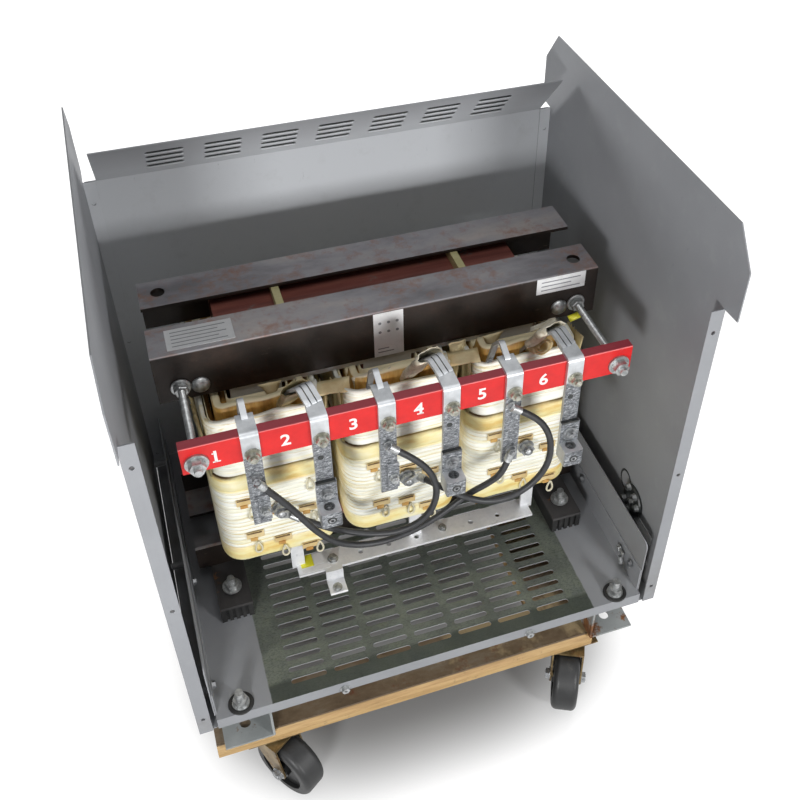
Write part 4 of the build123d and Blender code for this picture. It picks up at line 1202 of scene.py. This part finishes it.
yellow_tag = bmesh.new()
flap(yellow_tag, [(308, 264, 453), (326, 264, 458), (331, 258, 450), (312, 258, 444)], 3, 3)
papery(yellow_tag, "yellow_tag", STICKER, 0.0005, 0.0006)
crepe_flaps = bmesh.new()
flap(crepe_flaps, [(-71, 228, 456), (-48, 222, 467), (-44, 224, 410), (-64, 228, 410)])
flap(crepe_flaps, [(-27, 226, 458), (-22, 226, 463), (-15, 224, 436), (-25, 224, 436)])
flap(crepe_flaps, [(-16, 226, 461), (-10, 226, 464), (-11, 224, 434), (-19, 224, 434)])
flap(crepe_flaps, [(208, 190, 508), (246, 180, 524), (250, 198, 518), (214, 208, 500)])
papery(crepe_flaps, "crepe_flaps", CREPE, 0.0008, 0.003)

roll = bmesh.new()
roll_axis = Vector((0.3, -0.86, 0.42)).normalized()
roll_side = roll_axis.cross(Vector((0, 0, 1))).normalized()
roll_up = roll_side.cross(roll_axis)
spiral = []
for step in range(41):
    angle = step / 40 * 4.6 * math.pi
    radius = 6.0 + 8.5 * step / 40
    flattened = roll_side * 1.5 * radius * math.cos(angle) + roll_up * radius * math.sin(angle)
    rim = Vector((236, 214, 452)) + flattened
    spiral.append([roll.verts.new(at(*(rim + roll_axis * reach))) for reach in (-14, -7, 0, 7, 14)])
for left_line, right_line in zip(spiral, spiral[1:]):
    for a, b, c, d in zip(left_line, left_line[1:], right_line[1:], right_line):
        roll.faces.new((a, b, c, d))
papery(roll, "paper_roll", FLAP, 0.0007, 0.0014)


def pleats(shape, x, outward, start, stop, low, high, flare):
    """Upright paper folded like a fan along a coil's side, flaring toward the top."""
    count = round((stop - start) / 4.0)
    lines = []
    for fold in range(count + 1):
        y = start + (stop - start) * fold / count
        tall = high - 7.0 * abs(math.sin(1.7 * fold)) - 0.25 * (y - start)
        line = []
        for level in range(6):
            v = level / 5
            reach = (3.2 if fold % 2 else 0.4) + flare * v * v + 0.9 * math.sin(fold * 2.3 + level)
            line.append(shape.verts.new(at(x + outward * reach, y - 3.0 * v, low + (tall - low) * v)))
        lines.append(line)
    for left_line, right_line in zip(lines, lines[1:]):
        for a, b, c, d in zip(left_line, left_line[1:], right_line[1:], right_line):
            shape.faces.new((a, b, c, d))


fans = bmesh.new()
pleats(fans, -303, -1, 206, 266, 336, 478, 7.0)
pleats(fans, -120, 1, 212, 266, 336, 452, 3.0)
pleats(fans, -92, -1, 212, 266, 336, 452, 3.0)
pleats(fans, 92, 1, 212, 266, 336, 452, 3.0)
pleats(fans, 120, -1, 212, 266, 336, 452, 3.0)
pleats(fans, 303, 1, 206, 266, 336, 462, 4.0)
papery(fans, "side_pleats", PLEAT, 0.0008, 0.0008)


def turned(shape, start, axis, profile, sides=16):
    """A turned piece: rings of (distance, radius) along an axis from a start point, in millimetres."""
    axis = Vector(axis).normalized()
    beside = axis.orthogonal().normalized()
    third = axis.cross(beside)
    rings = []
    for distance, radius in profile:
        ring = []
        for side in range(sides):
            angle = 2 * math.pi * side / sides
            spoke = beside * math.cos(angle) + third * math.sin(angle)
            place = Vector(start) + axis * distance + spoke * radius
            ring.append(shape.verts.new(at(*place)))
        rings.append(ring)
    for low_ring, high_ring in zip(rings, rings[1:]):
        for side in range(sides):
            following = (side + 1) % sides
            shape.faces.new((low_ring[side], low_ring[following], high_ring[following], high_ring[side]))
    shape.faces.new(rings[0][::-1])
    shape.faces.new(rings[-1])


# Threaded stand-off rods with their nuts
rods = bmesh.new()
for side in (-1, 1):
    threads = []
    for thread in range(88):
        threads += [(thread * 2.15, 5.2), (thread * 2.15 + 1.0, 6.0)]
    turned(rods, (side * 322, 94, 477), (0, 1, 0), threads, 14)
    for y, radius, long in ((128, 11.5, 9), (255, 11.5, 10)):
        chamfered = [(0, radius * 0.9), (1.2, radius), (long - 1.2, radius), (long, radius * 0.9)]
        turned(rods, (side * 322, y, 477), (0, 1, 0), chamfered, 6)
    turned(rods, (side * 322, 265, 477), (0, 1, 0), [(0, 14.5), (0.6, 15.5), (3, 15.5), (3.6, 14.5)], 28)
from_bmesh(rods, "threaded_rods", ZINC, stands_for=("stand_off_rods",))


# Bolts through the terminal bar, on the lugs and straps
bolts("bar_bolts", [(x + 1, BAR_FACE, 474, FORWARD, 1.0) for x in BARS], YELLOW_ZINC,
      (11.8, 2, 9.4, 7.5, 5.2, 12.5))
lug_places = ((0, 427, 1.0), (2, 427, 1.0), (4, 446, 1.0), (4, 354, 1.15))
lug_seats = [(BARS[bar], 101, z, FORWARD, size) for bar, z, size in lug_places]
bolts("lug_bolts", lug_seats, DULL_ZINC, (7.8, 2, 6.5, 5.5, 3.5, 8.5))
straps = bmesh.new()
for bar in (0, 2):
    left, far = BARS[bar] - 3, BARS[bar] + 15
    slab(straps, at(left, BAR_FACE - 4, 333), at(far, BAR_FACE, 386), 0.0007)
    for rung in range(4):
        z = 370 + 4 * rung
        slab(straps, at(left, BAR_FACE - 5.2, z), at(far, BAR_FACE - 3.5, z + 2), 0.0004)
from_bmesh(straps, "tap_straps", ALUMINIUM)
bolts("strap_bolts", [(BARS[bar] + 6, BAR_FACE - 4, 357, FORWARD, 1.0) for bar in (0, 2)], ZINC,
      (7.8, 2, 6.6, 6, 4, 9))
bolts("box_lug_bolts", [(BARS[bar], BAR_FACE - 6, 362, FORWARD, 1.0) for bar in (1, 3, 5)], DULL_ZINC,
      (11.2, 2, 7.8, 5, 4.5, 8))
# Black discs in the bar holes and set-screw recesses, and a black strip under each lug tongue's top edge:
# painted shade.
bar_holes = bmesh.new()
for bar, z in ((1, 434), (3, 438), (5, 436)):
    turned(bar_holes, (BARS[bar] - 3, BAR_FACE, z), FORWARD, [(0, 4.6), (0.5, 4.4), (0.5, 3.2)], 18)
for bar in (1, 3, 5):
    turned(bar_holes, (BARS[bar], BAR_FACE - 30, 325), FORWARD, [(0, 7.4), (0.6, 7.0), (0.6, 5.6)], 18)
    slab(bar_holes, at(BARS[bar] - 15, BAR_FACE - 6.6, 382), at(BARS[bar] + 15, BAR_FACE, 385.5), 0.0004)
from_bmesh(bar_holes, "bar_holes", BLACK_AND_SHADE)
screw_faces = bmesh.new()
for bar in (1, 3, 5):
    hollow = [(0, 5.4), (0.4, 5.2), (0.4, 2.6), (-1.6, 2.4)]
    turned(screw_faces, (BARS[bar], BAR_FACE - 30.6, 325), FORWARD, hollow, 6)
from_bmesh(screw_faces, "set_screws", DULL_ZINC)
stud_seats = [(leg + 2, 184, 252, FORWARD, 1.0) for leg in LEGS]
bolts("tap_stud_nuts", stud_seats, DULL_ZINC, (14.5, 2.8, 12.8, 8.5, 7.2, 12.5),
      stands_for=("tap_studs",))
stud_ends = [(leg + 2, 169.5, 252, FORWARD, 1.0) for leg in LEGS]
domes("tap_stud_domes", stud_ends, DULL_ZINC, 7.8, 0.6)
domes("clamp_domes", [(side * 292.7, 268.5, 473, FORWARD, 1.0) for side in (-1, 1)], ZINC, 14.5, 0.55)
bolts("rod_end_nuts", [(side * 322, 110, 477, FORWARD, 1.0) for side in (-1, 1)], ZINC,
      (17.2, 3.5, 12.5, 11, 6.2, 18.5))
floor_places = [(side * 334, y, 0, UP, 1.0) for side in (-1, 1) for y in (17, 580)]
floor_washers = bmesh.new()
for x, y, z, aim, size in floor_places:
    dished = [(0, 20.5), (1.2, 21), (3, 20), (3.2, 16), (2.2, 14.5), (2.2, 6)]
    turned(floor_washers, (x, y, z), UP, dished, 32)
from_bmesh(floor_washers, "floor_washers", PAD)
bolts("floor_bolts", floor_places, ZINC, (14.2, 4.2, 12.5, 12, 6.8, 30))
bolts("foot_bolts", [(side * 309, y, 44, UP, 1.0) for side in (-1, 1) for y in (212, 514)], ZINC,
      (16.5, 3, 11.5, 10, 6.2, 22))
bolts("lip_screws", [(-166, 0, -17, FORWARD, 1.0), (164, 0, -17, FORWARD, 1.0)], ZINC,
      (8.5, 1.4, 6.8, 6, 2.2, 6))
upturn_seats = []
for x, aim in ((372, LEFT), (-372, RIGHT)):
    upturn_seats += [(x, 244, 43, aim, 1.0), (x, 40, 40, aim, 1.0)]
bolts("upturn_screws", upturn_seats, DULL_ZINC, (7.5, 1.2, 6, 4.8, 2, 4.8))
cover_levels = (244 + 0.06 * 677, 244 + 0.5 * 677, 244 + 0.94 * 677)
rear_seats = [(side * 396, 599.5, z - FLOOR_LEVEL, BACK, 1.0) for side in (-1, 1) for z in cover_levels]
bolts("rear_screws", rear_seats, DULL_ZINC, (7.5, 1.2, 6, 4.5, 2, 4.5))

# Neutral bar fittings and its bare tags
neutral_seats = [(-133, 192, 73, UP, 1.0), (-137, 148, 51, UP, 0.9), (70, 196, 73, UP, 0.8)]
bolts("neutral_screws", neutral_seats, ZINC, (9.5, 1.5, 7.5, 5, 4, 6.5))
tags = bmesh.new()
slab(tags, at(-189, 177, 73), at(-140, 188, 73.4))
slab(tags, at(-166, 189, 73), at(-148, 213, 73.4))
from_bmesh(tags, "neutral_tags", LABEL)
sticker = bmesh.new()
slab(sticker, at(-189, 188.5, 73), at(-167, 214, 73.6))
from_bmesh(sticker, "neutral_sticker", STICKER)

# Bare labels on the front clamp, with faint ruled lines
labels = bmesh.new()
slab(labels, at(-330, 280, 540), at(-230, 327, 540.5))
slab(labels, at(-22, 268.4, 450), at(26, 269, 538))
slab(labels, at(250, 268.4, 508), at(335, 269, 539))
from_bmesh(labels, "clamp_labels", LABEL)
rules = bmesh.new()
for line in range(5):
    slab(rules, at(-322, 286 + 8 * line, 540.5), at(-240 - 12 * (line % 2), 287.6 + 8 * line, 540.7))
for line in range(2):
    slab(rules, at(-16, 268.2, 458 + 7 * line), at(10 - 8 * line, 268.4, 460 + 7 * line))
for line in range(3):
    slab(rules, at(258, 268.2, 514 + 8 * line), at(326 - 16 * (line % 2), 268.4, 516 + 8 * line))
for row in range(2):
    for column in range(3):
        turned(rules, (-12 + 14 * column, 268.4, 500 + 18 * row), FORWARD, [(0, 2.6), (0.3, 2.6)], 10)
from_bmesh(rules, "label_rules", RULED)

# Earth bus on the right wall, with a knock-out ring and a bare plate beside it
bus = bmesh.new()
turned(bus, (404.4, 113, 119), LEFT, [(0, 30), (3.5, 31), (6, 29), (6, 4)], 30)
for ring_part in range(28):
    angle = 2 * math.pi * ring_part / 28
    following = 2 * math.pi * (ring_part + 1) / 28
    centre = (angle + following) / 2
    spot = (404.4, 150 + 17 * math.cos(centre), 133 + 21 * math.sin(centre))
    turned(bus, spot, LEFT, [(0, 2.4), (0.6, 2.0)], 8)
from_bmesh(bus, "earth_bus", BLACK_AND_SHADE)
earth_places = ((134, 105), (104, 139), (119, 92), (92, 122), (126, 143), (112, 118))
earth_seats = [(398.4, y, z, LEFT, 1.0) for y, z in earth_places]
bolts("earth_screws", earth_seats, ZINC, (7.2, 1, 6.2, 6, 3, 6))
plate = bmesh.new()
plate_face = [plate.verts.new(at(404.0, y, z)) for y, z in ((103.5, 79), (90, 99), (39, 98), (41, 75))]
plate_back = [plate.verts.new(at(404.5, y, z)) for y, z in ((103.5, 79), (90, 99), (39, 98), (41, 75))]
plate.faces.new(plate_face)
plate.faces.new(plate_back[::-1])
for corner in range(4):
    following = (corner + 1) % 4
    plate.faces.new((plate_face[corner], plate_back[corner], plate_back[following], plate_face[following]))
from_bmesh(plate, "earth_plate", LABEL)
earth_lug = bmesh.new()
slab(earth_lug, at(366, 62, 30), at(371, 84, 40), 0.001)
turned(earth_lug, (371, 79, 35), LEFT, [(0, 8), (1.5, 8), (1.5, 6.5), (6.5, 6.2)], 6)
turned(earth_lug, (366, 66, 30), (0, -0.4, -1), [(0, 4.5), (14, 4.5), (15, 3.5)], 12)
from_bmesh(earth_lug, "earth_lug", ZINC)

# Louver hoods on the leaning strip: a black sheet over each slot as painted shade, above a rolled edge in
# pale grey as a painted highlight
openings = bmesh.new()
lips = bmesh.new()
lean = math.hypot(95, 82)
strip_up = Vector((0, -82 / lean, 95 / lean))
strip_in = Vector((0, -95 / lean, -82 / lean))
LOUVER_FORMS = ((openings, 1.2, 3.4, 29, 0.8), (lips, -4.0, 1.7, 30, 2.2))
for group in range(7):
    for row in range(4):
        foot = Vector((91.0 * (group - 3), 599, 651))
        middle = foot + strip_up * (lean / 2 + 20.0 * (row - 1.5)) + strip_in * 2.0
        for shape, lift, half_high, half_long, proud in LOUVER_FORMS:
            centre = middle + strip_up * lift
            rings = []
            straight = half_long - 3
            for x, pinch in ((-half_long, 0.3), (-straight, 1.0), (straight, 1.0), (half_long, 0.3)):
                ring = []
                for up_share, out_share in ((-1, 0), (-0.7, 0.7), (0, 1), (0.7, 0.7), (1, 0)):
                    rise = strip_up * half_high * up_share + strip_in * proud * out_share
                    ring.append(shape.verts.new(at(*(centre + Vector((x, 0, 0)) + rise * pinch))))
                rings.append(ring)
            for near, far in zip(rings, rings[1:]):
                for index in range(5):
                    following = (index + 1) % 5
                    shape.faces.new((near[index], near[following], far[following], far[index]))
            shape.faces.new(rings[0])
            shape.faces.new(rings[-1][::-1])
from_bmesh(openings, "louver_openings", BLACK_AND_SHADE)
from_bmesh(lips, "louver_lips", LIP_HIGHLIGHT, smooth=True)

# Closing strips along the bottom of each side wall, beside the pan
closers = bmesh.new()
for side in (-1, 1):
    inner, outer = sorted((side * 375, side * 404))
    slab(closers, at(inner, 3, -25.5), at(outer, 594, -24))
    near, far = sorted((side * 375, side * 376.5))
    slab(closers, at(near, 3, -25), at(far, 594, -14))
from_bmesh(closers, "bottom_closers", GREY)

# Caster fittings: axle nuts on each fork and bolts through each plate
CASTERS = {
    "front_left": (-295.5, -261.5, -55.0), "front_right": (269.0, -261.5, -116.2),
    "rear_left": (-295.5, 261.5, 158.0), "rear_right": (269.0, 261.5, 116.2),
}
TRAIL, FORK_HALF, WHEEL_RADIUS, PLATE_UNDERSIDE = 38, 29, 62, 139
DOWN = (0, 0, -1)
for place, (x, y, heading) in CASTERS.items():
    ahead_x, ahead_y = math.cos(math.radians(heading)), math.sin(math.radians(heading))
    ends = []
    for side in (-1, 1):
        end_x = x + TRAIL * ahead_x - side * FORK_HALF * ahead_y
        end_y = y + TRAIL * ahead_y + side * FORK_HALF * ahead_x + FRONT_EDGE
        outward = (-side * ahead_y, side * ahead_x, 0)
        ends.append((end_x, end_y, WHEEL_RADIUS - FLOOR_LEVEL, outward, 1.0))
    bolts(f"axle_nuts_{place}", ends, DULL_ZINC, (12.5, 1.5, 10.5, 6.2, 6.2, 7.5),
          body=f"fork_{place}")
    corners = [
        (x + side * 36, y + end * 24 + FRONT_EDGE, PLATE_UNDERSIDE - FLOOR_LEVEL, DOWN, 1.0)
        for side in (-1, 1)
        for end in (-1, 1)
    ]
    bolts(f"plate_bolts_{place}", corners, DULL_ZINC, (6.6, 1, 5.6, 3.4, 3, 3.6))


# Plain numerals along the terminal bar
def numeral(text, x, z, height):
    """A flat white numeral on the bar's front face."""
    words = bpy.data.curves.new(f"numeral_{text}", "FONT")
    words.body = text
    words.size = height / 700
    words.align_x = "CENTER"
    words.align_y = "CENTER"
    words.extrude = 0.0002
    words.offset = 0.0006
    raw = bpy.data.objects.new(f"numeral_{text}_raw", words)
    scene.collection.objects.link(raw)
    ready = raw.evaluated_get(bpy.context.evaluated_depsgraph_get())
    mesh = bpy.data.meshes.new_from_object(ready)
    bpy.data.objects.remove(raw)
    mesh.transform(Matrix.Translation(at(x, 110 - 0.2, z)) @ Matrix.Rotation(math.radians(90), 4, "X"))
    mesh.materials.clear()
    mesh.materials.append(MARK)
    settle(mesh, f"numeral_{text}", MARK)


for place in range(6):
    numeral(str(place + 1), BARS[place] - 49, 480, 21)
serifs = bmesh.new()
for place, reach, centre in ((0, 5.5, 0.6), (3, 5.0, 2.2)):
    x = BARS[place] - 49 + centre
    slab(serifs, at(x - reach, 109.6, 469.4), at(x + reach, 110, 471.6), 0.0001)
slab(serifs, at(BARS[0] - 49 - 4.6, 109.6, 486.0), at(BARS[0] - 49 - 0.6, 110, 488.2), 0.0001)
from_bmesh(serifs, "numeral_serifs", MARK)


# Floor, light and backdrop
def stage_finish():
    """Pale ground that reads white to the camera, its glow faded out under the object as a painted shadow,
    and still takes the object's real shadow.
    """
    f = Finish("pale_floor", rough=0.9)
    f.shader.inputs["Emission Color"].default_value = (1.0, 1.0, 1.0, 1.0)
    path = f.add("ShaderNodeLightPath")
    seen = f.math("MAXIMUM", path.outputs["Is Camera Ray"], path.outputs["Is Glossy Ray"])
    seen = f.math("MAXIMUM", seen, path.outputs["Is Transmission Ray"])
    # The glow fades to nothing in a fixed rounded area under the object: a painted shadow, lying over the
    # real shadow on the grey base.
    reach = None
    for letter, half in (("X", 0.47), ("Y", 0.42)):
        share = f.math("DIVIDE", f.math("ABSOLUTE", f.axis(letter)), half)
        cubed = f.math("POWER", share, 3.0)
        reach = cubed if reach is None else f.math("ADD", reach, cubed)
    glow = f.band(reach, 0.12, 1.0, 0.0, 0.88)
    glow.node.interpolation_type = "SMOOTHSTEP"
    f.shader.inputs["Base Color"].default_value = shade(150, 150, 150)
    glow = f.math("ADD", glow, f.band(reach, 5.0, 80.0, 0.0, 0.12))
    f.feed(f.shader.inputs["Emission Strength"], f.math("MULTIPLY", seen, glow))
    return f.material


ground_mesh = bpy.data.meshes.new("pale_ground")
GROUND_HALF, GROUND_LEVEL = 8, -0.0005
ground_signs = ((-1, -1), (1, -1), (1, 1), (-1, 1))
ground_corners = [(GROUND_HALF * x, GROUND_HALF * y, GROUND_LEVEL) for x, y in ground_signs]
ground_mesh.from_pydata(ground_corners, [], [(0, 1, 2, 3)])
ground_mesh.materials.append(stage_finish())
ground = bpy.data.objects.new("pale_ground", ground_mesh)
scene.collection.objects.link(ground)

world = bpy.data.worlds.new("studio")
scene.world = world
world.use_nodes = True
sky = world.node_tree
backdrop = sky.nodes["Background"]
backdrop.inputs["Color"].default_value = (1.0, 1.0, 1.0, 1.0)
path = sky.nodes.new("ShaderNodeLightPath")
seen = sky.nodes.new("ShaderNodeMath")
seen.operation = "MAXIMUM"
sky.links.new(path.outputs["Is Camera Ray"], seen.inputs[0])
sky.links.new(path.outputs["Is Glossy Ray"], seen.inputs[1])
through = sky.nodes.new("ShaderNodeMath")
through.operation = "MAXIMUM"
sky.links.new(seen.outputs[0], through.inputs[0])
sky.links.new(path.outputs["Is Transmission Ray"], through.inputs[1])
level = sky.nodes.new("ShaderNodeMapRange")
level.inputs["To Min"].default_value = 0.06
level.inputs["To Max"].default_value = 1.0
sky.links.new(through.outputs[0], level.inputs["Value"])
sky.links.new(level.outputs[0], backdrop.inputs["Strength"])


def softbox(name, place, aim, size, watts):
    """A square studio light aimed at a point."""
    lamp = bpy.data.lights.new(name, "AREA")
    lamp.energy = watts
    lamp.size = size
    stand = bpy.data.objects.new(name, lamp)
    scene.collection.objects.link(stand)
    aim_line = Vector(aim) - Vector(place)
    stand.matrix_world = Matrix.Translation(place) @ aim_line.to_track_quat("-Z", "Y").to_matrix().to_4x4()


softbox("front_left_softbox", (-0.78, -1.44, 0.78), (0.05, 0.0, 0.62), 0.28, 13.0)
softbox("front_right_softbox", (0.64, -1.5, 0.79), (-0.05, 0.0, 0.62), 0.28, 13.0)
softbox("rear_left_softbox", (-1.9, 2.5, 1.5), (0.0, 0.3, 0.6), 0.9, 36.0)
softbox("rear_right_softbox", (1.9, 2.45, 1.5), (0.0, 0.3, 0.6), 0.9, 36.0)
softbox("overhead_softbox", (0.0, -0.6, 2.4), (0.0, -0.1, 0.5), 0.8, 6.5)
